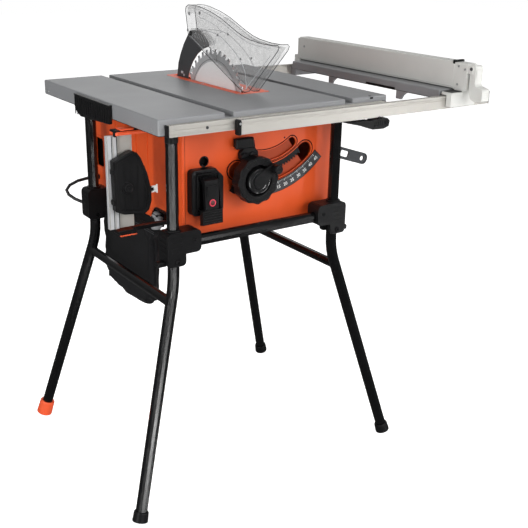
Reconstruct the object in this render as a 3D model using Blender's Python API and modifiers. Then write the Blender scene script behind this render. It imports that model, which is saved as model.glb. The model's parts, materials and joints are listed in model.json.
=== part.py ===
"""A portable table saw on a folding leg stand, as separate parts.

Sizes are in metres. The table frame, in which everything is placed, has its origin at the main table's
front left top corner: x runs to the right, y to the rear and z up. Its empty stands so that the world's
origin is on the floor under the middle of the saw.
"""

import math

import bmesh
import bpy
from mathutils import Matrix, Vector

for old in list(bpy.data.objects):
    bpy.data.objects.remove(old, do_unlink=True)

# ---------------------------------------------------------------- driving sizes
GAP = 0.0003                     # between neighbouring pieces
TABLE_W, TABLE_D, SKIRT_H = 0.567, 0.560, 0.033
TABLE_HEIGHT = 0.849             # table top above the floor
PLATE_T, SKIRT_T = 0.007, 0.006
SLOT_W, SLOT_DEPTH = 0.0205, 0.0095
SLOT_LEFTS = (0.1465, 0.4490)    # left edges of the two mitre slots

BLADE_X, BLADE_Y, BLADE_Z = 0.311, 0.300, -0.047
BLADE_R, BLADE_T, BLADE_TEETH = 0.127, 0.0024, 40
ARBOR_R = 0.0076
INSERT_LEFT, INSERT_RIGHT = 0.286, 0.370
INSERT_FRONT, INSERT_REAR, INSERT_T = 0.160, 0.493, 0.0035

CASE_LEFT, CASE_RIGHT = 0.105, 0.512
CASE_FRONT, CASE_REAR = 0.098, 0.525
CASE_TOP, CASE_BOTTOM, CASE_T = -0.0166, -0.283, 0.003

TILT_SLOT_R, LOCK_SLOT_R = 0.165, 0.126      # arc slots round the blade's tilt line
HUB_R, HUB_ANGLE = 0.1704, math.radians(-16)  # the crank shaft, as an angle from straight down
LOCK_ANGLE = math.radians(-18)
TRUNNION_R, TRUNNION_HALF = 0.061, 0.006

TUBE_R, TUBE_T = 0.0125, 0.0015
UPRIGHT_XS = (0.0586, 0.4750)
UPRIGHT_YS = (0.0560, 0.4390)
CROSS_Z = -0.271
PIVOT_Z = -0.304
BEND_Z = -0.357
BRACE_Z = -0.396
SPLAY_X, SPLAY_Y = 0.136, 0.079
FOOT_R = 0.017
BRACKET_OUTER, BRACKET_HALF = 0.0235, 0.0195   # reach beyond the upright, and half the depth

RAIL_Z = (-0.033, -0.011)
EXT_RAIL_Z = (-0.041, -0.0125)
EXT_RAIL_X = (0.168, 0.866)
EXT_LEFT, EXT_RIGHT = 0.720, 0.812
GUSSET_YS = ((0.1340, 0.0900), (0.3920, 0.3560))    # rear and front of the ribs that hang from the extension
FENCE_LEFT, FENCE_W = 0.754, 0.030
FENCE_Z = (0.0015, 0.062)
FENCE_Y = (-0.015, 0.568)

WRENCH_Z = -0.142                # the stored wrench hangs from the case's right wall

MODULE, PINION_TEETH, GEAR_TEETH = 0.0015, 10, 30
GEAR_X = (0.276, 0.286)
MOTOR_ANGLE = math.radians(30)   # motor axis below and behind the arbor

# The world's origin is under the middle of the saw's length and depth.
LEFT_END = UPRIGHT_XS[0] - SPLAY_X - 0.0165
RIGHT_END = EXT_RAIL_X[1]
FRONT_END, REAR_END = -0.1000, 0.5900

# ---------------------------------------------------------------- materials
MATERIALS = {
    "table_paint": ((0.30, 0.30, 0.31), 0.45, 0.3),
    "orange_shell": ((0.80, 0.13, 0.02), 0.40, 0.0),
    "orange_insert": ((0.85, 0.16, 0.05), 0.45, 0.0),
    "black_plastic": ((0.02, 0.02, 0.022), 0.45, 0.0),
    "black_tube": ((0.012, 0.012, 0.013), 0.30, 0.2),
    "rail_aluminium": ((0.62, 0.60, 0.57), 0.35, 0.9),
    "bright_steel": ((0.60, 0.61, 0.62), 0.25, 1.0),
    "dark_steel": ((0.10, 0.10, 0.11), 0.45, 0.8),
    "cast_metal": ((0.42, 0.42, 0.43), 0.55, 0.8),
    "clear_plastic": ((0.85, 0.87, 0.88), 0.08, 0.0),
    "bag_fabric": ((0.02, 0.02, 0.02), 0.90, 0.0),
    "cord_rubber": ((0.015, 0.015, 0.015), 0.60, 0.0),
    "fence_white": ((0.66, 0.66, 0.64), 0.40, 0.2),
    "scale_plate": ((0.05, 0.05, 0.055), 0.50, 0.0),
}


def material(name):
    found = bpy.data.materials.get(name)
    if found:
        return found
    color, roughness, metallic = MATERIALS[name]
    made = bpy.data.materials.new(name)
    made.use_nodes = True
    shader = made.node_tree.nodes["Principled BSDF"]
    shader.inputs["Base Color"].default_value = (*color, 1.0)
    shader.inputs["Roughness"].default_value = roughness
    shader.inputs["Metallic"].default_value = metallic
    if name == "clear_plastic":
        shader.inputs["Alpha"].default_value = 0.35
    return made


# ---------------------------------------------------------------- collections and frame
parts = bpy.data.collections.new("table_saw")
cutters = bpy.data.collections.new("table_saw_cutters")
bpy.context.scene.collection.children.link(parts)
bpy.context.scene.collection.children.link(cutters)

frame = bpy.data.objects.new("table_frame", None)
frame.location = (-(LEFT_END + RIGHT_END) / 2, -(FRONT_END + REAR_END) / 2, TABLE_HEIGHT)
parts.objects.link(frame)


def pivot(name, place):
    """An empty on a joint's axis, which its moving pieces hang from."""
    empty = bpy.data.objects.new(name, None)
    empty.location = place
    empty.empty_display_size = 0.03
    empty.parent = frame
    parts.objects.link(empty)
    return empty


def adopt(obj, name, look, parent=None):
    """Names a shape, gives it its material, and hangs it from its pivot without moving it."""
    obj.name = name
    obj.data.name = name
    obj.data.materials.clear()
    obj.data.materials.append(material(look))
    for holder in list(obj.users_collection):
        holder.objects.unlink(obj)
    parts.objects.link(obj)
    obj.parent = parent or frame
    if parent:
        obj.matrix_parent_inverse = Matrix.Translation(-parent.location)
    if obj.type == "MESH":
        obj.data.shade_smooth()
        obj.data.set_sharp_from_angle(angle=math.radians(35))
    return obj


# ---------------------------------------------------------------- shape helpers
def new_object(mesh, place=(0, 0, 0)):
    obj = bpy.data.objects.new(mesh.name, mesh)
    obj.location = place
    cutters.objects.link(obj)
    return obj


def mesh_from(bm):
    bmesh.ops.recalc_face_normals(bm, faces=bm.faces)
    mesh = bpy.data.meshes.new("shape")
    bm.to_mesh(mesh)
    bm.free()
    return mesh


def box(low, high, round_edges=0.0, segments=1):
    low, high = Vector(low), Vector(high)
    bm = bmesh.new()
    bmesh.ops.create_cube(bm, size=1.0)
    bmesh.ops.scale(bm, vec=high - low, verts=bm.verts)
    if round_edges:
        bmesh.ops.bevel(bm, geom=bm.edges[:], offset=round_edges, segments=segments, affect="EDGES")
    return new_object(mesh_from(bm), (low + high) / 2)


def rod(start, end, radius, segments=24, end_radius=None, chamfer=0.0):
    """A cylinder or cone between two points."""
    start, end = Vector(start), Vector(end)
    bm = bmesh.new()
    far = radius if end_radius is None else end_radius
    bmesh.ops.create_cone(bm, cap_ends=True, segments=segments, radius1=radius, radius2=far,
                          depth=(end - start).length)
    if chamfer:
        rims = [e for e in bm.edges if abs(e.verts[0].co.z - e.verts[1].co.z) < 1e-6]
        bmesh.ops.bevel(bm, geom=rims, offset=chamfer, segments=1, affect="EDGES")
    turn = (end - start).to_track_quat("Z", "Y").to_matrix().to_4x4()
    bmesh.ops.transform(bm, matrix=turn, verts=bm.verts)
    return new_object(mesh_from(bm), (start + end) / 2)


def as_mesh(curve_object):
    """The mesh of a curve object, with its caps welded on."""
    bpy.context.view_layer.update()
    graph = bpy.context.evaluated_depsgraph_get()
    mesh = bpy.data.meshes.new_from_object(curve_object.evaluated_get(graph))
    bm = bmesh.new()
    bm.from_mesh(mesh)
    bmesh.ops.remove_doubles(bm, verts=bm.verts, dist=1e-6)
    bmesh.ops.recalc_face_normals(bm, faces=bm.faces)
    bm.to_mesh(mesh)
    bm.free()
    made = bpy.data.objects.new("shape", mesh)
    made.matrix_world = curve_object.matrix_world.copy()
    cutters.objects.link(made)
    bpy.data.objects.remove(curve_object, do_unlink=True)
    return made


PLANES = {  # how a flat outline lies in space: its turn, and the direction of its thickness
    "xy": (Matrix(((1, 0, 0), (0, 1, 0), (0, 0, 1))), Vector((0, 0, 1))),
    "xz": (Matrix(((1, 0, 0), (0, 0, -1), (0, 1, 0))), Vector((0, 1, 0))),
    "yz": (Matrix(((0, 0, 1), (1, 0, 0), (0, 1, 0))), Vector((1, 0, 0))),
}


def plate(outlines, plane, first, last):
    """A flat piece between two heights over a plane; an outline inside another is a hole."""
    data = bpy.data.curves.new("outline", "CURVE")
    data.dimensions = "2D"
    data.fill_mode = "BOTH"
    data.extrude = (last - first) / 2
    for outline in outlines:
        spline = data.splines.new("POLY")
        spline.points.add(len(outline) - 1)
        for point, (u, v) in zip(spline.points, outline):
            point.co = (u, v, 0, 1)
        spline.use_cyclic_u = True
    obj = bpy.data.objects.new("outline", data)
    turn, normal = PLANES[plane]
    obj.matrix_world = Matrix.Translation(normal * (first + last) / 2) @ turn.to_4x4()
    bpy.context.scene.collection.objects.link(obj)
    return as_mesh(obj)


def pipe(points, radius, resolution=4, wall=0.0):
    """A bent bar along points; with a wall it is an open tube."""
    data = bpy.data.curves.new("path", "CURVE")
    data.dimensions = "3D"
    data.bevel_depth = radius
    data.bevel_resolution = resolution
    data.use_fill_caps = not wall
    spline = data.splines.new("POLY")
    spline.points.add(len(points) - 1)
    for point, place in zip(spline.points, points):
        point.co = (*place, 1)
    obj = bpy.data.objects.new("path", data)
    bpy.context.scene.collection.objects.link(obj)
    made = as_mesh(obj)
    if wall:
        solidify = made.modifiers.new("wall", "SOLIDIFY")
        solidify.thickness = wall
        solidify.offset = -1
    return made


def turned(profile, start, direction, steps=24):
    """A solid of revolution: profile pairs are (radius, height along the axis), run top to bottom."""
    mesh = bpy.data.meshes.new("profile")
    mesh.from_pydata([(r, 0, h) for r, h in profile], [(i, i + 1) for i in range(len(profile) - 1)], [])
    obj = new_object(mesh, start)
    obj.rotation_mode = "QUATERNION"
    obj.rotation_quaternion = Vector(direction).to_track_quat("Z", "Y")
    screw = obj.modifiers.new("turn", "SCREW")
    screw.steps = steps
    screw.render_steps = steps
    screw.use_merge_vertices = True
    screw.merge_threshold = 0.00001
    screw.use_smooth_shade = True
    return obj


def combine(obj, other, operation):
    modifier = obj.modifiers.new(operation.lower(), "BOOLEAN")
    modifier.operation = operation
    modifier.solver = "EXACT"
    modifier.object = other
    other.parent = frame
    other.hide_render = True
    other.display_type = "WIRE"
    return obj


def cut(obj, *others):
    for other in others:
        combine(obj, other, "DIFFERENCE")
    return obj


def join(obj, *others):
    for other in others:
        combine(obj, other, "UNION")
    return obj


def bend(start, corner, end, reach, steps=4):
    """Points round a corner of a bent tube, as a quadratic arc."""
    start, corner, end = Vector(start), Vector(corner), Vector(end)
    a = corner + (start - corner).normalized() * reach
    b = corner + (end - corner).normalized() * reach
    points = []
    for i in range(steps + 1):
        t = i / steps
        points.append((1 - t) ** 2 * a + 2 * t * (1 - t) * corner + t ** 2 * b)
    return points


def polar(radius, angle):
    """A point round the blade's tilt line, angle 0 straight down and growing to the right."""
    return (BLADE_X + radius * math.sin(angle), -radius * math.cos(angle))


def arc_band(radius, half_width, first, last, steps=14, round_ends=True):
    """The outline of a slot or strip that follows an arc round the tilt line."""
    angles = [first + (last - first) * i / steps for i in range(steps + 1)]
    outer = [polar(radius + half_width, a) for a in angles]
    inner = [polar(radius - half_width, a) for a in reversed(angles)]
    if not round_ends:
        return outer + inner
    points = list(outer)
    for i in range(1, 6):
        turn = math.pi * i / 6
        at = last + half_width * math.sin(turn) / radius
        points.append(polar(radius + half_width * math.cos(turn), at))
    points += inner
    for i in range(1, 6):
        turn = math.pi * i / 6
        at = first - half_width * math.sin(turn) / radius
        points.append(polar(radius - half_width * math.cos(turn), at))
    return points


def rounded(low, high, radius, steps=4):
    """A rectangle's outline with rounded corners."""
    (u0, v0), (u1, v1) = low, high
    centres = ((u1 - radius, v1 - radius, 0), (u0 + radius, v1 - radius, 90),
               (u0 + radius, v0 + radius, 180), (u1 - radius, v0 + radius, 270))
    points = []
    for u, v, first in centres:
        for i in range(steps + 1):
            a = math.radians(first + 90 * i / steps)
            points.append((u + radius * math.cos(a), v + radius * math.sin(a)))
    return points


def circle(u, v, radius, segments=24):
    return [(u + radius * math.cos(math.tau * i / segments), v + radius * math.sin(math.tau * i / segments))
            for i in range(segments)]


def gear_outline(teeth, centre, phase, module=MODULE):
    """A spur gear's outline with straight-sided teeth, a little thin so that a pair runs free."""
    pitch = module * teeth / 2
    root, tip = pitch - 1.2 * module, pitch + 0.85 * module
    points = []
    for i in range(teeth):
        middle = phase + math.tau * i / teeth
        for radius, share in ((root, -0.34), (pitch, -0.215), (tip, -0.10), (tip, 0.10), (pitch, 0.215),
                              (root, 0.34)):
            a = middle + share * math.tau / teeth
            points.append((centre[0] + radius * math.cos(a), centre[1] + radius * math.sin(a)))
    return points


# ---------------------------------------------------------------- pivots, one for each moving body
HUB_X, HUB_Z = polar(HUB_R, HUB_ANGLE)
LOCK_X, LOCK_Z = polar(LOCK_SLOT_R, LOCK_ANGLE)
ARMATURE_Y = BLADE_Y + MODULE * (PINION_TEETH + GEAR_TEETH) / 2 * math.sin(MOTOR_ANGLE)
ARMATURE_Z = BLADE_Z - MODULE * (PINION_TEETH + GEAR_TEETH) / 2 * math.cos(MOTOR_ANGLE)
GUARD_PIN = (0.388, 0.108)       # y and z of the guard's pin
SCREW_Y = 0.160                  # the lead screw stands behind the front trunnion
ROD_X, ROD_YS = 0.283, (0.215, 0.395)
KNOB_REACH, KNOB_ANGLE = 0.0425, math.radians(35)
MITER_X, MITER_Z = -0.012, -0.155
FENCE_PIN = (-0.0650, 0.0500)    # y and z of the fence lever's pin
PADDLE_PIN = (0.0720, -0.1550)
LOCK_LEVER_PIN = (0.542, -0.052)  # x and z of the extension lock's pin

tilt = pivot("tilt_line", (BLADE_X, BLADE_Y, 0))
lift = pivot("blade_lift", (BLADE_X, BLADE_Y, BLADE_Z))
arbor = pivot("arbor_axis", (BLADE_X, BLADE_Y, BLADE_Z))
armature = pivot("armature_axis", (BLADE_X, ARMATURE_Y, ARMATURE_Z))
crank = pivot("crank_axis", (HUB_X, CASE_FRONT, HUB_Z))
screw = pivot("lead_screw_axis", (HUB_X, SCREW_Y, HUB_Z))
guard_pin = pivot("guard_pin_axis", (BLADE_X, *GUARD_PIN))
left_fold = pivot("left_leg_fold_axis", (UPRIGHT_XS[0], UPRIGHT_YS[0], PIVOT_Z))
right_fold = pivot("right_leg_fold_axis", (UPRIGHT_XS[1], UPRIGHT_YS[0], PIVOT_Z))
extension = pivot("extension_slide_axis", (EXT_LEFT, 0, 0))
fence = pivot("fence_slide_axis", (FENCE_LEFT, 0, 0))
miter = pivot("miter_gauge_axis", (MITER_X, 0.130, MITER_Z))


# ---------------------------------------------------------------- table
def build_table():
    top = box((0, 0, -SKIRT_H), (TABLE_W, TABLE_D, 0), 0.002)
    inside = SKIRT_T, SKIRT_T, -2 * SKIRT_H
    cut(top, box(inside, (TABLE_W - SKIRT_T, TABLE_D - SKIRT_T, -PLATE_T)))
    channel = 0.005
    for left in SLOT_LEFTS:
        right = left + SLOT_W
        join(top, box((left - channel, 0.003, -0.0160),
                      (right + channel, TABLE_D - 0.003, -PLATE_T + 0.002)))
    rim = 0.008
    join(top, box((INSERT_LEFT - rim, INSERT_FRONT - rim, -0.014),
                  (INSERT_RIGHT + rim, INSERT_REAR + rim, -PLATE_T + 0.002)))
    for y in (0.075, 0.535):
        join(top, box((0.003, y, -0.0150), (TABLE_W - 0.003, y + 0.004, -PLATE_T + 0.002)))
    for left in SLOT_LEFTS:
        cut(top, box((left, -0.01, -SLOT_DEPTH), (left + SLOT_W, TABLE_D + 0.01, 0.01)))
    seat = rounded((INSERT_LEFT - GAP, INSERT_FRONT - GAP), (INSERT_RIGHT + GAP, INSERT_REAR + GAP), 0.012)
    cut(top, plate([seat], "xy", -INSERT_T - GAP, 0.01))
    well = rounded((INSERT_LEFT + 0.006, INSERT_FRONT + 0.006),
                   (INSERT_RIGHT - 0.006, INSERT_REAR - 0.006), 0.010)
    cut(top, plate([well], "xy", -0.03, 0.01))
    adopt(top, "table_top", "table_paint")

    edge = rounded((INSERT_LEFT, INSERT_FRONT), (INSERT_RIGHT, INSERT_REAR), 0.012)
    kerf = rounded((BLADE_X - 0.007, 0.174), (BLADE_X + 0.007, 0.484), 0.003, 1)
    insert = plate([edge, kerf], "xy", -INSERT_T, 0)
    adopt(insert, "throat_insert", "orange_insert")


# ---------------------------------------------------------------- case
def case_outline(inset):
    low = (CASE_LEFT + inset, CASE_BOTTOM + inset)
    high = (CASE_RIGHT - inset, CASE_TOP)
    corner = 0.028 - inset
    points = [(high[0], high[1]), (low[0], high[1])]
    for u, first in ((low[0] + corner, 180), (high[0] - corner, 270)):
        for i in range(6):
            a = math.radians(first + 18 * i)
            points.append((u + corner * math.cos(a), low[1] + corner + corner * math.sin(a)))
    return points


def build_case():
    case = plate([case_outline(0)], "xz", CASE_FRONT, CASE_REAR)
    inner = [(u, v if v < CASE_TOP else 0.05) for u, v in case_outline(CASE_T)]
    cut(case, plate([inner], "xz", CASE_FRONT + CASE_T, CASE_REAR + 0.05))
    tilt_slot = arc_band(TILT_SLOT_R, 0.019, math.radians(-26), math.radians(41))
    lock_slot = arc_band(LOCK_SLOT_R, 0.012, math.radians(-24), math.radians(35))
    cut(case, plate([tilt_slot], "xz", CASE_FRONT - 0.02, CASE_FRONT + 0.02))
    cut(case, plate([lock_slot], "xz", CASE_FRONT - 0.02, CASE_FRONT + 0.02))
    cut(case, rod((0.158, CASE_FRONT - 0.02, -0.119), (0.158, CASE_FRONT + 0.02, -0.119), 0.0095, 16))
    arch = [(0.128, -0.30), (0.150, -0.243), (0.165, -0.238), (0.212, -0.238), (0.228, -0.245),
            (0.272, -0.30)]
    cut(case, plate([arch], "yz", CASE_LEFT - 0.02, CASE_LEFT + 0.034))
    window = rounded((0.472, -0.207), (0.515, -0.136), 0.006, 2)
    cut(case, plate([window], "yz", CASE_LEFT - 0.02, CASE_LEFT + 0.02))
    cut(case, box((0.1100, 0.2220, -0.35), (0.1300, 0.4060, -0.25)))
    cut(case, box((0.09, 0.4140, -0.35), (0.53, 0.4640, -0.2380)))
    adopt(case, "case_shell", "orange_shell")

    low = (CASE_LEFT + CASE_T + GAP, CASE_BOTTOM + CASE_T + GAP)
    cover = case_outline(CASE_T + GAP)
    vents = []
    for row in range(6):
        z = low[1] + 0.075 + 0.018 * row
        vents.append(rounded((0.180, z), (0.420, z + 0.008), 0.003, 1))
    rear = plate([cover, *vents], "xz", CASE_REAR - 0.003, CASE_REAR)
    adopt(rear, "rear_cover", "black_plastic")

    chute = box((0.1103, 0.2223, -0.2915), (0.1297, 0.4057, -0.262))
    cut(chute, box((0.1123, 0.2243, -0.30), (0.1277, 0.4037, -0.25)))
    adopt(chute, "dust_chute", "black_plastic")

    outline = [(0.214, -0.2935), (0.492, -0.2935), (0.494, -0.430), (0.490, -0.462), (0.462, -0.486),
               (0.430, -0.500), (0.372, -0.506), (0.310, -0.504), (0.268, -0.494), (0.246, -0.474),
               (0.238, -0.430), (0.236, -0.330)]
    bag = plate([outline], "yz", 0.1000, 0.1290)
    adopt(bag, "dust_bag", "bag_fabric")

    rack_pitch = 0.0024 * 134 / 2
    rack = rack_outline(rack_pitch, 0.0024, math.radians(-23), math.radians(39))
    adopt(plate([rack], "xz", CASE_FRONT, CASE_FRONT + 0.003), "bevel_rack", "black_plastic")

    band = arc_band(0.2015, 0.0125, math.radians(-4), math.radians(47), round_ends=False)
    adopt(plate([band], "xz", CASE_FRONT - 0.0013, CASE_FRONT - GAP), "bevel_scale", "scale_plate")


def rack_outline(pitch, module, first, last):
    """An arc rack inside the tilt slot, with its teeth pointing away from the tilt line."""
    step = 2 * module / (2 * pitch) * math.pi
    base = TILT_SLOT_R - 0.019 + GAP
    root, tip = pitch - 1.2 * module, pitch + 0.8 * module
    count = int((last - first) / step)
    points = []
    for i in range(count):
        middle = HUB_ANGLE + step * (i + 0.5 + math.floor((first - HUB_ANGLE) / step))
        for radius, share in ((root, -0.27), (pitch, -0.19), (tip, -0.08), (tip, 0.08), (pitch, 0.19),
                              (root, 0.27)):
            points.append(polar(radius, middle + share * step))
    start = HUB_ANGLE + step * (0.5 + math.floor((first - HUB_ANGLE) / step)) - step / 2
    arc = [polar(base, start + (count * step) * i / 16) for i in range(17)]
    return points + arc[::-1]

def build_switch():
    shape = rounded((0.1165, -0.2280), (0.1935, -0.1300), 0.010)
    shape = [(u, v) for u, v in shape if u < 0.18 or v < -0.15] + [(0.1935, -0.1500), (0.1740, -0.1300)]
    centre = (0.155, -0.180)
    shape.sort(key=lambda point: math.atan2(point[1] - centre[1], point[0] - centre[0]))
    housing = plate([shape], "xz", 0.0765, CASE_FRONT - GAP)
    cut(housing, box((0.1280, 0.06, -0.2200), (0.1790, 0.0850, -0.1400)))
    adopt(housing, "switch_box", "black_plastic")
    hinge = pivot("switch_paddle_axis", (0.155, *PADDLE_PIN))
    profile = [(0.0640, -0.151), (0.0760, -0.146), (0.0790, -0.153), (0.0740, -0.163), (0.0690, -0.213),
               (0.0670, -0.244), (0.0570, -0.242), (0.0600, -0.212)]
    paddle = plate([profile], "yz", 0.1395, 0.1715)
    lip = [(0.0688, -0.2125), (0.0675, -0.2460), (0.0550, -0.2430), (0.0560, -0.2125)]
    join(paddle, plate([lip], "yz", 0.1300, 0.1785))
    adopt(paddle, "switch_paddle", "black_plastic", hinge)


# ---------------------------------------------------------------- blade carriage
def build_trunnions():
    groove = arc_band(TRUNNION_R, TRUNNION_HALF, math.radians(-43), math.radians(53), 16)
    for name, y, top in (("front_trunnion", 0.104, -0.0073), ("rear_trunnion", 0.485, -0.0143)):
        outline = [(0.232, top), (0.232, -0.052), (0.276, -0.084), (0.352, -0.084), (0.392, -0.052),
                   (0.392, top)]
        adopt(plate([outline, groove], "xz", y, y + 0.008), name, "cast_metal")


def build_tilt_frame():
    body = box((0.258, 0.1135, -0.210), (0.302, 0.4835, -0.197))
    sector = arc_band(0.1315, 0.0835, math.radians(-42), math.radians(8), 12, False)
    rib = arc_band(TRUNNION_R, TRUNNION_HALF - GAP, math.radians(-38), math.radians(3), 10, False)
    for y0, y1, rib0, rib1 in ((0.113, 0.119, 0.1045, 0.1140), (0.478, 0.484, 0.4830, 0.4925)):
        join(body, plate([sector], "xz", y0, y1))
        join(body, plate([rib], "xz", rib0, rib1))
        join(body, box((0.262, y0, -0.075), (0.296, y1, -0.022)))
    join(body, box((0.272, 0.1180, -0.030), (0.294, 0.2270, -0.022)))
    join(body, box((0.272, 0.3830, -0.030), (0.294, 0.4790, -0.022)))
    shield = arc_band(0.151, 0.041, math.radians(-42), math.radians(35), 16, False)
    join(body, plate([shield], "xz", 0.1040, 0.1070))
    spacer = arc_band(0.187, 0.005, math.radians(-41), math.radians(8), 10, False)
    join(body, plate([spacer], "xz", 0.1060, 0.1150))
    for x0, x1 in ((0.3030, 0.3096), (0.3124, 0.3190)):
        join(body, box((x0, 0.4340, -0.112), (x1, 0.4790, -0.075)))
    cut(body, rod((HUB_X, 0.10, HUB_Z), (HUB_X, 0.13, HUB_Z), 0.0085, 20))
    cut(body, rod((LOCK_X, 0.10, LOCK_Z), (LOCK_X, 0.13, LOCK_Z), 0.0055, 16))
    adopt(body, "tilt_frame", "cast_metal", tilt)
    for name, y in zip(("guide_rod_front", "guide_rod_rear"), ROD_YS):
        adopt(rod((ROD_X, y, -0.1967), (ROD_X, y, -0.0303), 0.006, 16), name, "bright_steel", tilt)

    knife = [(0.474, -0.110), (0.474, 0.000), (0.468, 0.030), (0.457, 0.053), (0.441, 0.078), (0.421, 0.101),
             (0.405, 0.113), (0.374, 0.115), (0.345, 0.103), (0.327, 0.091)]
    for degrees in (78, 66, 54, 42, 30, 18):
        a = math.radians(degrees)
        knife.append((BLADE_Y + 0.133 * math.cos(a), BLADE_Z + 0.133 * math.sin(a)))
    knife += [(0.432, -0.020), (0.432, -0.110)]
    pin_hole = circle(*GUARD_PIN, 0.0033, 12)
    sheet = plate([knife, pin_hole], "yz", BLADE_X - 0.0011, BLADE_X + 0.0011)
    adopt(sheet, "riving_knife", "dark_steel", tilt)


def build_lift():
    plate_x = (0.272, 0.290)
    block = rod((plate_x[0], BLADE_Y, BLADE_Z), (plate_x[1], BLADE_Y, BLADE_Z), 0.029, 28)
    join(block, rod((plate_x[0], ARMATURE_Y, ARMATURE_Z), (plate_x[1], ARMATURE_Y, ARMATURE_Z), 0.014, 20))
    join(block, rod((0.285, BLADE_Y, BLADE_Z), (0.302, BLADE_Y, BLADE_Z), 0.014, 20))
    join(block, box((0.2745, ROD_YS[0], -0.072), (0.2895, ROD_YS[1], -0.052)))
    for y in ROD_YS:
        join(block, rod((ROD_X, y, -0.095), (ROD_X, y, -0.036), 0.011, 16))
    join(block, box((0.2550, 0.1500, -0.070), (0.2890, 0.2100, -0.058)))
    for y in ROD_YS:
        cut(block, rod((ROD_X, y, -0.12), (ROD_X, y, -0.01), 0.0063, 16))
    cut(block, rod((HUB_X, SCREW_Y, -0.12), (HUB_X, SCREW_Y, -0.01), 0.0055, 16))
    cut(block, rod((0.26, BLADE_Y, BLADE_Z), (0.2875, BLADE_Y, BLADE_Z), 0.0255, 28))
    cut(block, rod((0.26, ARMATURE_Y, ARMATURE_Z), (0.2875, ARMATURE_Y, ARMATURE_Z), 0.0100, 20))
    cut(block, rod((0.26, BLADE_Y, BLADE_Z), (0.31, BLADE_Y, BLADE_Z), ARBOR_R + GAP, 24))
    adopt(block, "gear_case", "cast_metal", lift)

    can = [(0.0, 0.1535), (0.030, 0.1535), (0.038, 0.146), (0.038, 0.004), (0.034, 0.0), (0.0, 0.0)]
    motor = turned(can, (0.1180, ARMATURE_Y, ARMATURE_Z), (1, 0, 0), 28)
    cut(motor, rod((0.1230, ARMATURE_Y, ARMATURE_Z), (0.2660, ARMATURE_Y, ARMATURE_Z), 0.033, 28))
    cut(motor, rod((0.25, ARMATURE_Y, ARMATURE_Z), (0.28, ARMATURE_Y, ARMATURE_Z), 0.0085, 16))
    for degrees in (45, 135, 225, 315):
        a = math.radians(degrees)
        y, z = ARMATURE_Y + 0.021 * math.cos(a), ARMATURE_Z + 0.021 * math.sin(a)
        cut(motor, rod((0.10, y, z), (0.13, y, z), 0.006, 10))
    adopt(motor, "motor_housing", "black_plastic", lift)


def build_arbor():
    steps = [(0.0, 0.051), (ARBOR_R - 0.001, 0.051), (ARBOR_R, 0.050), (ARBOR_R, 0.0354), (0.020, 0.0354),
             (0.020, 0.0302), (ARBOR_R, 0.0302), (ARBOR_R, 0.0), (0.0, 0.0)]
    shaft = turned(steps, (0.2740, BLADE_Y, BLADE_Z), (1, 0, 0), 24)
    adopt(shaft, "arbor_shaft", "bright_steel", arbor)
    centre = (BLADE_Y, BLADE_Z)
    toward_pinion = math.atan2(ARMATURE_Z - BLADE_Z, ARMATURE_Y - BLADE_Y)
    gear = gear_outline(GEAR_TEETH, centre, toward_pinion)
    bore = circle(*centre, ARBOR_R + GAP)
    adopt(plate([gear, bore], "yz", *GEAR_X), "driven_gear", "dark_steel", arbor)

    outline = []
    for i in range(BLADE_TEETH):
        a = math.tau * i / BLADE_TEETH
        for radius, share in ((BLADE_R, 0.0), (BLADE_R - 0.0015, 0.30), (BLADE_R - 0.0105, 0.36),
                              (BLADE_R - 0.0105, 0.62), (BLADE_R - 0.0045, 0.92)):
            b = a + share * math.tau / BLADE_TEETH
            outline.append((BLADE_Y + radius * math.cos(b), BLADE_Z + radius * math.sin(b)))
    bore = circle(*centre, ARBOR_R + GAP)
    blade = plate([outline, bore], "yz", BLADE_X - BLADE_T / 2, BLADE_X + BLADE_T / 2)
    adopt(blade, "saw_blade", "bright_steel", arbor)

    nut = rod((BLADE_X + 0.0015, BLADE_Y, BLADE_Z), (BLADE_X + 0.0045, BLADE_Y, BLADE_Z), 0.020, 24)
    join(nut, rod((BLADE_X + 0.004, BLADE_Y, BLADE_Z), (BLADE_X + 0.012, BLADE_Y, BLADE_Z), 0.013, 6))
    cut(nut, rod((BLADE_X, BLADE_Y, BLADE_Z), (BLADE_X + 0.02, BLADE_Y, BLADE_Z), ARBOR_R + GAP, 24))
    adopt(nut, "arbor_nut", "dark_steel", arbor)

    axle = (ARMATURE_Y, ARMATURE_Z)
    rotor = rod((0.1260, *axle), (0.2870, *axle), 0.0035, 16)
    join(rotor, rod((0.1500, *axle), (0.2250, *axle), 0.026, 24))
    join(rotor, rod((0.1310, *axle), (0.1430, *axle), 0.011, 16))
    facing = toward_pinion + math.pi + math.pi / PINION_TEETH
    join(rotor, plate([gear_outline(PINION_TEETH, axle, facing)], "yz", *GEAR_X))
    adopt(rotor, "motor_armature", "dark_steel", armature)


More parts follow.
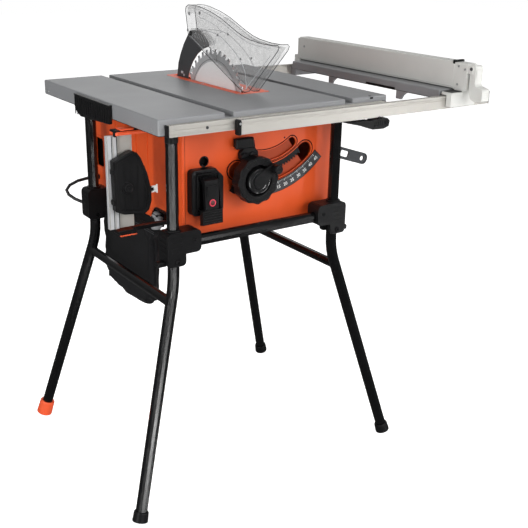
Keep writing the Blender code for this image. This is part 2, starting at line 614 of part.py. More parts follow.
# ---------------------------------------------------------------- bevel and height controls
def build_controls():
    at = (HUB_X, HUB_Z)
    rim = []
    for i in range(72):
        a = math.tau * i / 72
        radius = 0.0505 + 0.0015 * math.cos(12 * a)
        rim.append((HUB_X + radius * math.cos(a), HUB_Z + radius * math.sin(a)))
    wheel = plate([rim], "xz", 0.0500, 0.0740)
    cut(wheel, rod((HUB_X, 0.03, HUB_Z), (HUB_X, 0.0660, HUB_Z), 0.034, 28))
    join(wheel, rod((HUB_X, 0.0700, HUB_Z), (HUB_X, 0.1115, HUB_Z), 0.0065, 20))
    join(wheel, plate([pinion_outline(8, 0.0024, at)], "xz", CASE_FRONT - 0.0005, CASE_FRONT + 0.0045))
    cut(wheel, rod((HUB_X, 0.05, HUB_Z), (HUB_X, 0.12, HUB_Z), 0.0055, 16))
    adopt(wheel, "bevel_wheel", "black_plastic", crank)

    handle = rod((HUB_X, 0.0450, HUB_Z), (HUB_X, 0.0640, HUB_Z), 0.028, 28, chamfer=0.002)
    join(handle, rod((HUB_X, 0.0600, HUB_Z), (HUB_X, 0.1500, HUB_Z), 0.0050, 16))
    cone = rod((HUB_X, SCREW_Y - 0.0115, HUB_Z), (HUB_X, SCREW_Y - 0.0060, HUB_Z), 0.0107, 20, 0.0052)
    join(handle, cone)
    knob_x = HUB_X + KNOB_REACH * math.cos(KNOB_ANGLE)
    knob_z = HUB_Z + KNOB_REACH * math.sin(KNOB_ANGLE)
    join(handle, arm_between(at, (knob_x, knob_z), 0.0160, 0.0105, 0.0420, 0.0485))
    join(handle, rod((knob_x, 0.0280, knob_z), (knob_x, 0.0450, knob_z), 0.0035, 12))
    adopt(handle, "height_crank", "black_plastic", crank)
    knob_axis = pivot("crank_knob_axis", (knob_x, 0.035, knob_z))
    waist = [(0.0038, 0.018), (0.0085, 0.018), (0.0104, 0.015), (0.0092, 0.006), (0.0098, 0.0),
             (0.0038, 0.0), (0.0038, 0.018)]
    grip = turned(waist, (knob_x, 0.0416, knob_z), (0, -1, 0), 20)
    adopt(grip, "crank_knob", "black_plastic", knob_axis)

    lock_axis = pivot("bevel_lock_axis", (LOCK_X, CASE_FRONT, LOCK_Z))
    outline = [(0.2290, -0.0785), (0.2690, -0.0785), (0.2750, -0.0840), (0.2770, -0.1010), (0.284, -0.108),
               (0.286, -0.124), (0.276, -0.131), (0.262, -0.130), (0.248, -0.128), (0.241, -0.122),
               (0.240, -0.110), (0.246, -0.1025), (0.252, -0.0980), (0.2290, -0.0960)]
    lever = plate([outline], "xz", 0.0835, 0.0950)
    join(lever, box((0.2260, 0.0780, -0.0995), (0.2720, 0.0890, -0.0755), 0.003))
    join(lever, rod((LOCK_X, 0.090, LOCK_Z), (LOCK_X, 0.124, LOCK_Z), 0.0050, 16))
    adopt(lever, "bevel_lock_lever", "black_plastic", lock_axis)

    spindle = rod((HUB_X, SCREW_Y, -0.1960), (HUB_X, SCREW_Y, -0.0360), 0.0048, 16)
    bevel_gear = rod((HUB_X, SCREW_Y, HUB_Z - 0.0120), (HUB_X, SCREW_Y, HUB_Z - 0.0065), 0.0107, 20, 0.0052)
    join(spindle, bevel_gear)
    adopt(spindle, "lead_screw", "bright_steel", screw)


def arm_between(start, end, start_radius, end_radius, first, last):
    """A flat crank arm in the xz plane, round at both ends and as wide as its end radii."""
    angle = math.atan2(end[1] - start[1], end[0] - start[0])
    points = []
    for centre, radius, side in ((end, end_radius, -90), (start, start_radius, 90)):
        for i in range(7):
            a = angle + math.radians(side + 30 * i)
            points.append((centre[0] + radius * math.cos(a), centre[1] + radius * math.sin(a)))
    return plate([points], "xz", first, last)


def pinion_outline(teeth, module, centre):
    """The bevel wheel's pinion, with one tooth pointing at the tilt line."""
    toward = math.atan2(0 - centre[1], BLADE_X - centre[0])
    pitch = module * teeth / 2
    points = []
    for i in range(teeth):
        for radius, share in ((pitch - 1.1 * module, -0.24), (pitch, -0.17), (pitch + 0.75 * module, -0.07),
                              (pitch + 0.75 * module, 0.07), (pitch, 0.17), (pitch - 1.1 * module, 0.24)):
            a = toward + (i + share) * math.tau / teeth
            points.append((centre[0] + radius * math.cos(a), centre[1] + radius * math.sin(a)))
    return points


# ---------------------------------------------------------------- guard
def build_guard():
    y, z = GUARD_PIN
    cheek = [(0.399, 0.112), (0.392, 0.119), (0.352, 0.118), (0.312, 0.097), (0.312, 0.090), (0.340, 0.082),
             (0.397, 0.098)]
    arm = plate([cheek], "yz", BLADE_X - 0.0088, BLADE_X - 0.0030)
    join(arm, plate([cheek], "yz", BLADE_X + 0.0030, BLADE_X + 0.0088))
    join(arm, rod((BLADE_X - 0.0145, y, z), (BLADE_X + 0.0145, y, z), 0.0030, 12))
    join(arm, box((BLADE_X - 0.0050, 0.3130, 0.0915), (BLADE_X + 0.0050, 0.3210, 0.0955)))
    adopt(arm, "guard_arm", "clear_plastic", guard_pin)

    side = [(0.411, 0.158), (0.408, 0.166), (0.398, 0.171), (0.372, 0.172), (0.345, 0.170), (0.300, 0.163),
            (0.260, 0.153), (0.225, 0.141), (0.192, 0.129), (0.165, 0.121), (0.140, 0.1165), (0.100, 0.113),
            (0.060, 0.1130), (0.040, 0.1155), (0.035, 0.1120), (0.040, 0.1030), (0.140, 0.0085),
            (0.158, 0.0035), (0.169, 0.0040), (0.388, 0.0965), (0.399, 0.1030)]
    shell = plate([side], "yz", BLADE_X - 0.013, BLADE_X + 0.013)
    wall = 0.0022
    room = [(0.440, 0.100), (0.440, 0.140), (0.4085, 0.150), (0.398, 0.1685), (0.372, 0.1695),
            (0.345, 0.1675), (0.300, 0.1605), (0.260, 0.1505), (0.226, 0.1385), (0.193, 0.1265),
            (0.166, 0.1185), (0.141, 0.1140), (0.100, 0.1105), (0.060, 0.1105), (0.0445, 0.1090),
            (0.1445, 0.0080), (0.172, -0.03), (0.440, -0.03)]
    cut(shell, plate([room], "yz", BLADE_X - 0.013 + wall, BLADE_X + 0.013 - wall))
    cut(shell, rod((BLADE_X - 0.02, y, z), (BLADE_X + 0.02, y, z), 0.0034, 12))
    adopt(shell, "blade_guard", "clear_plastic", guard_pin)


# ---------------------------------------------------------------- stand
def leg_run(x, y, foot_radius):
    """The leg's bend, its direction down to the foot, and the foot's middle, whose rim touches the floor."""
    side = -1 if x < TABLE_W / 2 else 1
    end = -1 if y < TABLE_D / 2 else 1
    corner = Vector((x, y, BEND_Z))
    down = Vector((side * SPLAY_X, end * SPLAY_Y, -(TABLE_HEIGHT + BEND_Z))).normalized()
    lean = math.sqrt(1 - down.z ** 2)
    foot_z = -TABLE_HEIGHT + foot_radius * lean
    foot = corner + down * ((foot_z - BEND_Z) / down.z)
    return corner, down, foot


def build_stand():
    for name, y in zip(("front_frame_tube", "rear_frame_tube"), UPRIGHT_YS):
        left, right = UPRIGHT_XS
        top = -0.0165
        path = [(left, y, top)]
        path += bend((left, y, top), (left, y, CROSS_Z), (right, y, CROSS_Z), 0.030)
        path += bend((left, y, CROSS_Z), (right, y, CROSS_Z), (right, y, top), 0.030)
        path.append((right, y, top))
        adopt(pipe(path, TUBE_R, wall=TUBE_T), name, "black_tube")
        for side, x in zip(("left", "right"), UPRIGHT_XS):
            end = name.split("_")[0]
            build_bracket(f"{end}_{side}_bracket", x, y, path)

    for side, x, fold in (("left", UPRIGHT_XS[0], left_fold), ("right", UPRIGHT_XS[1], right_fold)):
        build_leg_frame(side, x, fold)


def build_bracket(name, x, y, path):
    outer = -1 if x < TABLE_W / 2 else 1
    inward = 0.056 if y < TABLE_D / 2 else 0.034
    front, rear = y - BRACKET_HALF, y + BRACKET_HALF
    sleeve = sorted((x + outer * BRACKET_OUTER, x - outer * inward))
    cheeks = sorted((x + outer * BRACKET_OUTER, x - outer * 0.0200))
    block = plate([rounded((sleeve[0], -0.2890), (sleeve[1], -0.2410), 0.010, 3)], "xz", front, rear)
    join(block, plate([rounded((cheeks[0], -0.3140), (cheeks[1], -0.2560), 0.009, 3)], "xz", front, rear))
    cut(block, pipe(path, TUBE_R + GAP))
    throat = sorted((x + outer * (TUBE_R + 0.0055), x - outer * 0.10))
    cut(block, box((throat[0], y - TUBE_R - 0.0005, -0.40), (throat[1], y + TUBE_R + 0.0005, -0.2865)))
    cut(block, rod((x, front - 0.01, PIVOT_Z), (x, rear + 0.01, PIVOT_Z), 0.0053, 16))
    if y < TABLE_D / 2:
        tab = sorted((x + outer * 0.0160, x + outer * 0.06))
        cut(block, box((tab[0], y - 0.0085, -0.3135), (tab[1], y + 0.0085, -0.3015)))
        side = "left" if outer < 0 else "right"
        slide = pivot(f"{side}_release_axis", (x + outer * 0.03, y, -0.3075))
        reach = sorted((x + outer * 0.0195, x + outer * 0.0400))
        button = box((reach[0], y - 0.0080, -0.3130), (reach[1], y + 0.0080, -0.3020), 0.0015)
        adopt(button, f"{side}_leg_release", "black_plastic", slide)
    adopt(block, name, "black_plastic")


def build_leg_frame(side, x, fold):
    legs = None
    for y in UPRIGHT_YS:
        end = "front" if y < TABLE_D / 2 else "rear"
        leveling = side == "left" and end == "rear"
        foot_radius = 0.019 if leveling else FOOT_R
        corner, down, foot = leg_run(x, y, foot_radius)
        head = Vector((x, y, PIVOT_Z + 0.012))
        tail = foot - down * 0.0065
        path = [head] + bend(head, corner, tail, 0.030) + [tail]
        leg = pipe(path, TUBE_R, wall=TUBE_T)
        join(leg, rod((x, y - 0.0190, PIVOT_Z), (x, y + 0.0190, PIVOT_Z), 0.0050, 16))
        cup_height = 0.036 if leveling else 0.022
        rim = foot_radius - 0.001
        profile = [(TUBE_R + 0.0004, cup_height), (rim - 0.001, cup_height), (rim, cup_height - 0.002),
                   (foot_radius, 0.003), (foot_radius, 0.0), (0.0, 0.0), (0.0, 0.0060),
                   (TUBE_R + 0.0004, 0.0060), (TUBE_R + 0.0004, cup_height)]
        cup = turned(profile, foot, -down, 20)
        if leveling:
            twist = pivot("leveling_foot_axis", foot)
            adopt(cup, "leveling_foot", "orange_insert", twist)
        else:
            adopt(cup, f"{end}_{side}_foot", "black_plastic", fold)
        legs = leg if legs is None else join(legs, leg)
    corner, down, foot = leg_run(x, UPRIGHT_YS[0], FOOT_R)
    drop = (BRACE_Z - BEND_Z) / down.z
    near = corner + down * drop
    far = Vector((near.x, UPRIGHT_YS[1] + (UPRIGHT_YS[0] - near.y), near.z))
    along = (far - near).normalized() * 0.006
    join(legs, rod(near + along, far - along, 0.0105, 16))
    adopt(legs, f"{side}_leg_frame", "black_tube", fold)


# ---------------------------------------------------------------- rails, extension and fence
def build_rails():
    low, high = RAIL_Z
    section = [(-0.0130, low), (-0.0005, low), (-0.0005, high), (-0.0130, high), (-0.0130, high - 0.005),
               (-0.0115, high - 0.006), (-0.0115, high - 0.009), (-0.0130, high - 0.010),
               (-0.0130, low + 0.008), (-0.0115, low + 0.007), (-0.0115, low + 0.004),
               (-0.0130, low + 0.003)]
    front = plate([section], "yz", 0.016, 0.551)
    x, z = LOCK_LEVER_PIN
    join(front, box((x - 0.008, -0.0115, -0.060), (x + 0.008, -0.0020, low + 0.002)))
    join(front, rod((x, -0.030, z), (x, -0.004, z), 0.0040, 16))
    adopt(front, "front_rail", "rail_aluminium")
    bar = box((0.016, TABLE_D + 0.0005, low), (0.551, TABLE_D + 0.0110, high), 0.001)
    adopt(bar, "rear_rail", "rail_aluminium")

    low, high = EXT_RAIL_Z
    section = [(-0.0270, low), (-0.0240, low), (-0.0240, low + 0.004), (-0.0170, low + 0.004),
               (-0.0170, low), (-0.0140, low), (-0.0140, high), (-0.0270, high), (-0.0270, high - 0.005),
               (-0.0258, high - 0.006), (-0.0258, high - 0.009), (-0.0270, high - 0.010)]
    adopt(plate([section], "yz", *EXT_RAIL_X), "front_extension_rail", "rail_aluminium", extension)
    rear = box((0.300, TABLE_D + 0.0120, low), (EXT_RAIL_X[1], TABLE_D + 0.0220, high), 0.001)
    adopt(rear, "rear_extension_rail", "rail_aluminium", extension)

    wing = box((EXT_LEFT, -0.0080, -0.022), (EXT_RIGHT, 0.5530, -0.0003), 0.002)
    cut(wing, box((EXT_LEFT + 0.004, 0.004, -0.04), (EXT_RIGHT - 0.004, 0.541, -0.005)))
    for rear_y, front_y in GUSSET_YS:
        middle = (rear_y + front_y) / 2
        rib = [(rear_y, -0.0200), (rear_y, -0.0410), (middle + 0.004, -0.0410), (middle - 0.002, -0.0310),
               (middle - 0.010, -0.0250), (front_y, -0.0200)]
        join(wing, plate([rib], "yz", EXT_LEFT + 0.0010, EXT_LEFT + 0.0060))
    join(wing, box((EXT_LEFT + 0.010, -0.0138, -0.040), (EXT_RIGHT - 0.010, -0.0060, -0.018)))
    join(wing, box((EXT_LEFT + 0.010, 0.5500, -0.040), (EXT_RIGHT - 0.010, TABLE_D + 0.0118, -0.018)))
    adopt(wing, "extension_table", "table_paint", extension)

    hinge = pivot("extension_lock_axis", (x, -0.02, z))
    outline = [(0.430, -0.0445), (0.495, -0.0450), (0.500, -0.0470), (0.505, -0.0445), (0.546, -0.0445),
               (0.5525, -0.0500), (0.5505, -0.0620), (0.536, -0.0665), (0.505, -0.0655), (0.470, -0.0540)]
    lever = plate([outline, circle(x, z, 0.0043, 16)], "xz", -0.0300, -0.0120)
    adopt(lever, "extension_lock_lever", "black_plastic", hinge)


def build_fence():
    left, right = FENCE_LEFT, FENCE_LEFT + FENCE_W
    beam = box((left, FENCE_Y[0], FENCE_Z[0]), (right, FENCE_Y[1], FENCE_Z[1]), 0.0015)
    cut(beam, box((left + 0.003, FENCE_Y[0] - 0.01, 0.006), (right - 0.003, FENCE_Y[1] + 0.01, 0.0575)))
    hook = box((left + 0.002, 0.5640, -0.030), (right - 0.002, 0.5760, 0.058))
    cut(hook, box((left - 0.01, 0.55, -0.05), (right + 0.01, 0.58, -0.008)))
    join(hook, box((left + 0.002, 0.5710, -0.0090), (right - 0.002, 0.5900, 0.012)))
    join(hook, box((left + 0.002, 0.5828, -0.038), (right - 0.002, 0.5900, 0.000)))
    join(beam, hook)
    adopt(beam, "fence_beam", "fence_white", fence)

    head = box((left, -0.0540, 0.0008), (right, -0.0153, 0.0600))
    join(head, box((left - 0.032, -0.0440, -0.0105), (right + 0.016, -0.0120, -0.0034), 0.001))
    join(head, box((left - 0.032, -0.0440, -0.036), (right + 0.016, -0.0275, -0.0050), 0.001))
    join(head, box((left + 0.002, -0.0440, -0.008), (right - 0.002, -0.0180, 0.004)))
    y, z = FENCE_PIN
    for x0, x1 in ((left + 0.0005, left + 0.0030), (right - 0.0030, right - 0.0005)):
        join(head, box((x0, -0.0690, 0.0400), (x1, -0.0500, 0.0570)))
    join(head, rod((left + 0.001, y, z), (right - 0.001, y, z), 0.0025, 12))
    adopt(head, "fence_head", "fence_white", fence)

    hinge = pivot("fence_lever_axis", (left, y, z))
    outline = [(-0.0620, 0.0580), (-0.0590, 0.0560), (-0.0570, 0.0520), (-0.0570, 0.0460), (-0.0600, 0.0360),
               (-0.0600, 0.0000), (-0.0660, -0.0170), (-0.0800, -0.0210), (-0.0970, -0.0190),
               (-0.1000, -0.0160), (-0.0995, 0.0060), (-0.0970, 0.0090), (-0.0790, 0.0130),
               (-0.0760, 0.0180), (-0.0755, 0.0500), (-0.0735, 0.0560), (-0.0690, 0.0590)]
    lever = plate([outline, circle(y, z, 0.0028, 12)], "yz", left + 0.0036, right - 0.0036)
    adopt(lever, "fence_lever", "fence_white", hinge)


# ---------------------------------------------------------------- stored tools, handle and cord
def build_side():
    outline = [(0.194, -0.003), (0.366, -0.003), (0.367, -0.030), (0.356, -0.042), (0.336, -0.049),
               (0.194, -0.042)]
    adopt(plate([outline], "yz", -0.009, -GAP), "side_carry_handle", "black_plastic")

    holder = box((-0.0300, 0.1180, -0.2560), (CASE_LEFT - GAP, 0.1490, -0.0420), 0.002)
    cut(holder, box((-0.0400, 0.1, -0.2480), (0.0990, 0.2, -0.0490)))
    cut(holder, box((0.0060, 0.1, -0.2700), (0.0950, 0.1380, -0.2400)))
    adopt(holder, "gauge_holder", "orange_insert")

    bar = box((MITER_X - 0.0330, 0.1320, -0.2440), (MITER_X - 0.0110, 0.1415, -0.0510), 0.0006)
    adopt(bar, "miter_bar", "bright_steel", miter)
    strip = box((MITER_X - 0.0107, 0.1350, -0.2440), (MITER_X + 0.0240, 0.1400, -0.0510), 0.0006)
    adopt(strip, "miter_fence_plate", "rail_aluminium", miter)
    outline = [(0.002, -0.0815), (0.012, -0.0860), (0.020, -0.0965), (0.034, -0.1300), (0.0420, -0.1640),
               (0.0425, -0.1900), (0.036, -0.2080), (0.026, -0.2150), (-0.020, -0.2100), (-0.038, -0.2020),
               (-0.040, -0.0985), (-0.012, -0.0860)]
    head = plate([outline], "xz", 0.1130, 0.1310)
    join(head, rod((MITER_X, 0.1080, MITER_Z), (MITER_X, 0.1150, MITER_Z), 0.0110, 16))
    tip = box((MITER_X + 0.0500, 0.1180, MITER_Z - 0.0165), (MITER_X + 0.0660, 0.1240, MITER_Z - 0.0065))
    join(head, tip)
    adopt(head, "miter_head", "black_plastic", miter)

    down = math.radians(-18)
    wrench = rounded((0, -0.0135), (0.1000, 0.0135), 0.0120, 4)
    window = rounded((0.014, -0.0070), (0.038, 0.0070), 0.002, 1)
    eye = circle(0.083, 0, 0.0058, 14)
    placed = []
    for outline in (wrench, window, eye):
        placed.append([(CASE_RIGHT + 0.007 + u * math.cos(down) - v * math.sin(down),
                        WRENCH_Z + u * math.sin(down) + v * math.cos(down)) for u, v in outline])
    hook = pivot("wrench_hook", (CASE_RIGHT, 0.106, WRENCH_Z))
    adopt(plate(placed, "xz", 0.1040, 0.1080), "blade_wrench", "dark_steel", hook)

    loop = [(CASE_LEFT - 0.0005, 0.508, -0.236), (0.080, 0.509, -0.236), (0.050, 0.510, -0.240),
            (0.028, 0.510, -0.248), (0.018, 0.507, -0.258), (0.020, 0.500, -0.268), (0.030, 0.488, -0.277),
            (0.042, 0.476, -0.283), (0.050, 0.4650, -0.287)]
    adopt(pipe(loop, 0.0040, 2), "power_cord", "cord_rubber")


build_table()
build_case()
build_switch()
build_trunnions()
build_tilt_frame()
build_lift()
build_arbor()
build_controls()
build_guard()
build_stand()
build_rails()
build_fence()
build_side()

for helper in cutters.objects:
    helper.hide_render = True
    helper.display_type = "WIRE"
    helper.parent = frame
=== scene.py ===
"""The looks of a portable table saw on its folding stand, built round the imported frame.

Lengths are in millimetres in the table's own frame, whose origin is the main table's front left top
corner: x to the right, y to the rear and z up. at() turns them into the row frame's metres.
"""

import json
import math

import bmesh
import bpy
from mathutils import Matrix, Vector


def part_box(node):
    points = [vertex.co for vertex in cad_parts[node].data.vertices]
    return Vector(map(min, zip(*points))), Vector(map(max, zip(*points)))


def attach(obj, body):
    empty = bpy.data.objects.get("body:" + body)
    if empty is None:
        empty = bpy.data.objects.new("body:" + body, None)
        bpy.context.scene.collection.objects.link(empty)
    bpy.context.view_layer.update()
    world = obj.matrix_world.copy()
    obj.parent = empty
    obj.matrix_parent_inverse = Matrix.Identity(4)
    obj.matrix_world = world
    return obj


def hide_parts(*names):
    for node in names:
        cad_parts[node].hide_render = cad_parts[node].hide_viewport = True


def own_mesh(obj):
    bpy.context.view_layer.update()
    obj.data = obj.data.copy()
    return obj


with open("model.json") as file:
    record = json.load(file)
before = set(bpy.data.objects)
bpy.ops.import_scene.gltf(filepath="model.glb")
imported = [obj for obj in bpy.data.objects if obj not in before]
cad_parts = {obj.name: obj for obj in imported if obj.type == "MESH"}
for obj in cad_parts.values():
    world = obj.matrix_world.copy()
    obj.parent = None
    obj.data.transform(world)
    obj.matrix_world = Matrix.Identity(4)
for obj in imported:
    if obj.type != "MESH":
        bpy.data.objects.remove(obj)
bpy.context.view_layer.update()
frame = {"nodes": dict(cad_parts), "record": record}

table_low, table_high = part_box("table_top")
TABLE_ORIGIN = Vector((table_low.x, table_low.y, table_high.z))
BLADE = (311.0, 300.0, -47.0)  # the middle of the blade
HUB = (264.04, -163.8)  # x and z of the bevel wheel and the height crank
CASE_FRONT = 98.0  # y of the case's front wall
POSTS_X = (("left", 58.6), ("right", 475.0))
POSTS_Y = (("front", 56.0), ("rear", 439.0))
HINGE_Z = -304.0  # the height of both leg frames' hinge lines
CASE = "table_and_case"
LEFT, RIGHT, FRONT, REAR, UP = (-1, 0, 0), (1, 0, 0), (0, -1, 0), (0, 1, 0), (0, 0, 1)
scene = bpy.context.scene


def at(x, y, z):
    """A place in the table's frame, in millimetres, as a place in the row frame, in metres."""
    return Vector((x, y, z)) / 1000 + TABLE_ORIGIN


def polar(radius, degrees):
    """x and z round the blade's tilt line, with angle 0 straight down and growing to the right."""
    a = math.radians(degrees)
    return BLADE[0] + radius * math.sin(a), -radius * math.cos(a)


# ---------------------------------------------------------------- materials
def srgb(text):
    """A colour written as six hex digits, as linear red, green and blue."""
    values = [int(text[i:i + 2], 16) / 255 for i in (0, 2, 4)]
    return tuple(v / 12.92 if v <= 0.04045 else ((v + 0.055) / 1.055) ** 2.4 for v in values)


class Nodes:
    """A short way to wire a material's nodes."""

    def __init__(self, name):
        self.material = bpy.data.materials.new(name)
        self.material.use_nodes = True
        self.tree = self.material.node_tree
        self.tree.nodes.clear()

    def add(self, kind, values=None, **settings):
        node = self.tree.nodes.new("ShaderNode" + kind)
        for key, value in settings.items():
            setattr(node, key, value)
        for key, value in (values or {}).items():
            if isinstance(value, bpy.types.NodeSocket):
                self.tree.links.new(value, node.inputs[key])
            else:
                node.inputs[key].default_value = value
        return node

    def math(self, operation, a, b=0.0, c=0.0, clamp=False):
        return self.add("Math", {0: a, 1: b, 2: c}, operation=operation, use_clamp=clamp).outputs[0]

    def ramp(self, value, low, high, start=0.0, end=1.0):
        values = {"Value": value, "From Min": low, "From Max": high, "To Min": start, "To Max": end}
        return self.add("MapRange", values).outputs[0]

    def mix(self, factor, a, b):
        node = self.add("Mix", data_type="RGBA")
        for socket, value in ((node.inputs["Factor"], factor), (node.inputs[6], a), (node.inputs[7], b)):
            if isinstance(value, bpy.types.NodeSocket):
                self.tree.links.new(value, socket)
            elif isinstance(value, tuple):
                socket.default_value = (*value[:3], 1.0)
            else:
                socket.default_value = value
        return node.outputs[2]

    def coordinates(self, stretch=(1, 1, 1)):
        coords = self.add("TexCoord").outputs["Object"]
        return self.add("Mapping", {"Vector": coords, "Scale": stretch}).outputs[0]

    def noise(self, vector, scale, detail=3.0, roughness=0.5):
        values = {"Vector": vector, "Scale": scale, "Detail": detail, "Roughness": roughness}
        return self.add("TexNoise", values).outputs[0]

    def edge(self, radius):
        """Near 1 on outside corners and 0 on flat faces."""
        soft = self.add("Bevel", {"Radius": radius}, samples=4).outputs[0]
        true = self.add("NewGeometry").outputs["Normal"]
        dot = self.add("VectorMath", {0: soft, 1: true}, operation="DOT_PRODUCT").outputs["Value"]
        return self.ramp(dot, 0.985, 0.80)

    def finish(self, shader):
        out = self.add("OutputMaterial")
        self.tree.links.new(shader, out.inputs["Surface"])
        return self.material


def scaled(color, factor):
    return tuple(min(1.0, c * factor) for c in color)


LOOKS = {}


def surface(name, color, rough, metal=0.0, tint=0.06, grain=1400, bump=0.12, speck=0.0, streak=None,
            wear=0.0, coat=0.0, shine=0.5):
    """A finish with cloudy colour, grain in its bump and roughness, and worn or rubbed edges."""
    n = Nodes(name)
    place = n.coordinates()
    cloud = n.noise(place, 9, 4, 0.6)
    shade = n.mix(n.ramp(cloud, 0.3, 0.7), scaled(color, 1 - tint), scaled(color, 1 + tint))
    fine = n.noise(n.coordinates(streak) if streak else place, grain, 3, 0.6)
    if speck:
        dots = n.ramp(n.noise(place, 520, 2, 0.7), 0.60, 0.72)
        shade = n.mix(n.math("MULTIPLY", dots, speck), shade, scaled(color, 1.6))
        pits = n.ramp(n.noise(place, 610, 2, 0.7), 0.40, 0.28)
        shade = n.mix(n.math("MULTIPLY", pits, speck), shade, scaled(color, 0.55))
    if wear:
        rub = n.math("MULTIPLY", n.edge(0.0016), n.ramp(n.noise(place, 90, 4, 0.7), 0.35, 0.6))
        shade = n.mix(n.math("MULTIPLY", rub, wear), shade, scaled(color, 1.8))
    if streak:
        shade = n.mix(n.ramp(fine, 0.3, 0.7), scaled(color, 0.93), shade)
    roughness = n.math("ADD", n.ramp(fine, 0.3, 0.7, rough - 0.05, rough + 0.06),
                       n.ramp(cloud, 0.3, 0.7, -0.04, 0.04))
    relief = n.add("Bump", {"Strength": bump, "Distance": 0.0006, "Height": fine}).outputs[0]
    values = {"Base Color": shade, "Roughness": roughness, "Metallic": metal, "Normal": relief,
              "Specular IOR Level": shine}
    if coat:
        values["Coat Weight"] = coat
        values["Coat Roughness"] = 0.12
    LOOKS[name] = n.finish(n.add("BsdfPrincipled", values).outputs[0])


def clear_plastic(name):
    """Thin clear plastic that darkens where it is seen edge on."""
    n = Nodes(name)
    place = n.coordinates()
    facing = n.add("LayerWeight", {"Blend": 0.28}).outputs["Facing"]
    haze = n.ramp(n.noise(place, 60, 4, 0.6), 0.3, 0.7, 0.06, 0.12)
    dark = n.ramp(n.math("POWER", facing, 2.6), 0.0, 1.0, 0.0, 0.5)
    see = n.add("BsdfTransparent", {"Color": (0.955, 0.955, 0.955, 1)}).outputs[0]
    scratch = n.noise(n.coordinates((1, 1, 6)), 500, 2)
    relief = n.add("Bump", {"Strength": 0.05, "Distance": 0.0004, "Height": scratch}).outputs[0]
    body = n.add("BsdfPrincipled", {"Base Color": (0.40, 0.40, 0.40, 1), "Roughness": 0.10,
                                    "Normal": relief}).outputs[0]
    shine = n.add("BsdfGlossy", {"Color": (1, 1, 1, 1), "Roughness": 0.05, "Normal": relief}).outputs[0]
    veil = n.add("MixShader", {0: n.math("ADD", haze, dark), 1: see, 2: body}).outputs[0]
    gloss = n.ramp(n.math("POWER", facing, 3.0), 0.0, 1.0, 0.03, 0.35)
    LOOKS[name] = n.finish(n.add("MixShader", {0: gloss, 1: veil, 2: shine}).outputs[0])


def cloth(name, color):
    """Woven nylon: crossed threads in the bump, a painted highlight on the threads, and a little sheen."""
    n = Nodes(name)
    place = n.coordinates()
    waves = []
    for axis in ("X", "Y", "Z"):
        values = {"Vector": place, "Scale": 210.0, "Distortion": 0.6, "Detail": 1.0}
        waves.append(n.add("TexWave", values, bands_direction=axis).outputs[1])
    weave = n.math("MULTIPLY", n.math("MAXIMUM", waves[0], waves[1]), waves[2])
    cloud = n.noise(place, 14, 4, 0.6)
    shade = n.mix(n.ramp(cloud, 0.3, 0.7), scaled(color, 0.8), scaled(color, 1.25))
    # painted highlight: the colour is lightened where the threads rise
    shade = n.mix(n.math("MULTIPLY", weave, 0.25), shade, scaled(color, 1.6))
    relief = n.add("Bump", {"Strength": 0.35, "Distance": 0.0005, "Height": weave}).outputs[0]
    rough = n.ramp(cloud, 0.3, 0.7, 0.72, 0.86)
    values = {"Base Color": shade, "Roughness": rough, "Normal": relief, "Specular IOR Level": 0.15,
              "Sheen Weight": 0.05, "Sheen Roughness": 0.45}
    LOOKS[name] = n.finish(n.add("BsdfPrincipled", values).outputs[0])


GREY = srgb("828385")
ORANGE = srgb("d34f1d")
BLACK = srgb("131314")
surface("table_paint", GREY, 0.44, tint=0.03, grain=900, bump=0.10, speck=0.10, wear=0.25)
surface("orange_shell", ORANGE, 0.42, tint=0.05, grain=1300, bump=0.16, wear=0.12, shine=0.35)
surface("orange_insert", srgb("e8572a"), 0.45, tint=0.04, grain=1000, bump=0.10, wear=0.3)
surface("black_plastic", BLACK, 0.36, tint=0.2, grain=1500, bump=0.22, wear=1.0, shine=0.14)
surface("black_tube", srgb("0b0b0c"), 0.16, tint=0.10, grain=700, bump=0.04, wear=0.4, shine=0.34)
surface("rail_aluminium", srgb("b0ada7"), 0.38, 0.4, tint=0.03, grain=500, bump=0.05, streak=(0.05, 3, 3))
surface("bright_steel", srgb("d4d5d7"), 0.36, 0.45, tint=0.03, grain=500, bump=0.05, streak=(3, 0.2, 3))
surface("dark_steel", srgb("3a3b3e"), 0.45, 0.55, tint=0.10, grain=700, bump=0.08, wear=0.4)
surface("cast_metal", srgb("8e8f91"), 0.55, 0.75, tint=0.08, grain=500, bump=0.3)
surface("fence_white", srgb("d0d0cc"), 0.42, 0.1, tint=0.02, grain=900, bump=0.05, wear=0.2)
surface("scale_plate", srgb("333437"), 0.5, tint=0.06, grain=1200, bump=0.08)
surface("cord_rubber", srgb("1c1c1d"), 0.55, tint=0.1, grain=900, bump=0.1)
surface("white_print", srgb("dfe0de"), 0.5, tint=0.02, grain=900, bump=0.02)
surface("red_print", srgb("d8344a"), 0.45, tint=0.03, grain=900, bump=0.02)
# near black: printed marks and black parts, and painted shade in holes, vents, grooves, along slot edges and
# on undersides
surface("black_and_painted_shade", srgb("0c0c0d"), 0.8, tint=0.05, grain=900, bump=0.02, shine=0.1)
# darker table grey: painted shade on the floors of the table's slots, and the grey of the bag's stitching
# thread
surface("thread_grey_and_slot_shade", scaled(GREY, 0.55), 0.5, tint=0.05, grain=900, bump=0.10)
# half-bright orange: painted shade inside the case and along the inner edge of the front border
surface("orange_painted_shade", scaled(ORANGE, 0.5), 0.5, tint=0.06, grain=1300, bump=0.16, shine=0.3)
surface("black_rubber", srgb("111112"), 0.5, tint=0.15, grain=1200, bump=0.35, wear=0.8, shine=0.12)
surface("guard_edge", srgb("444547"), 0.2, tint=0.05, grain=700, bump=0.03)
surface("guard_mark", srgb("b4b5b8"), 0.25, tint=0.05, grain=700, bump=0.03)
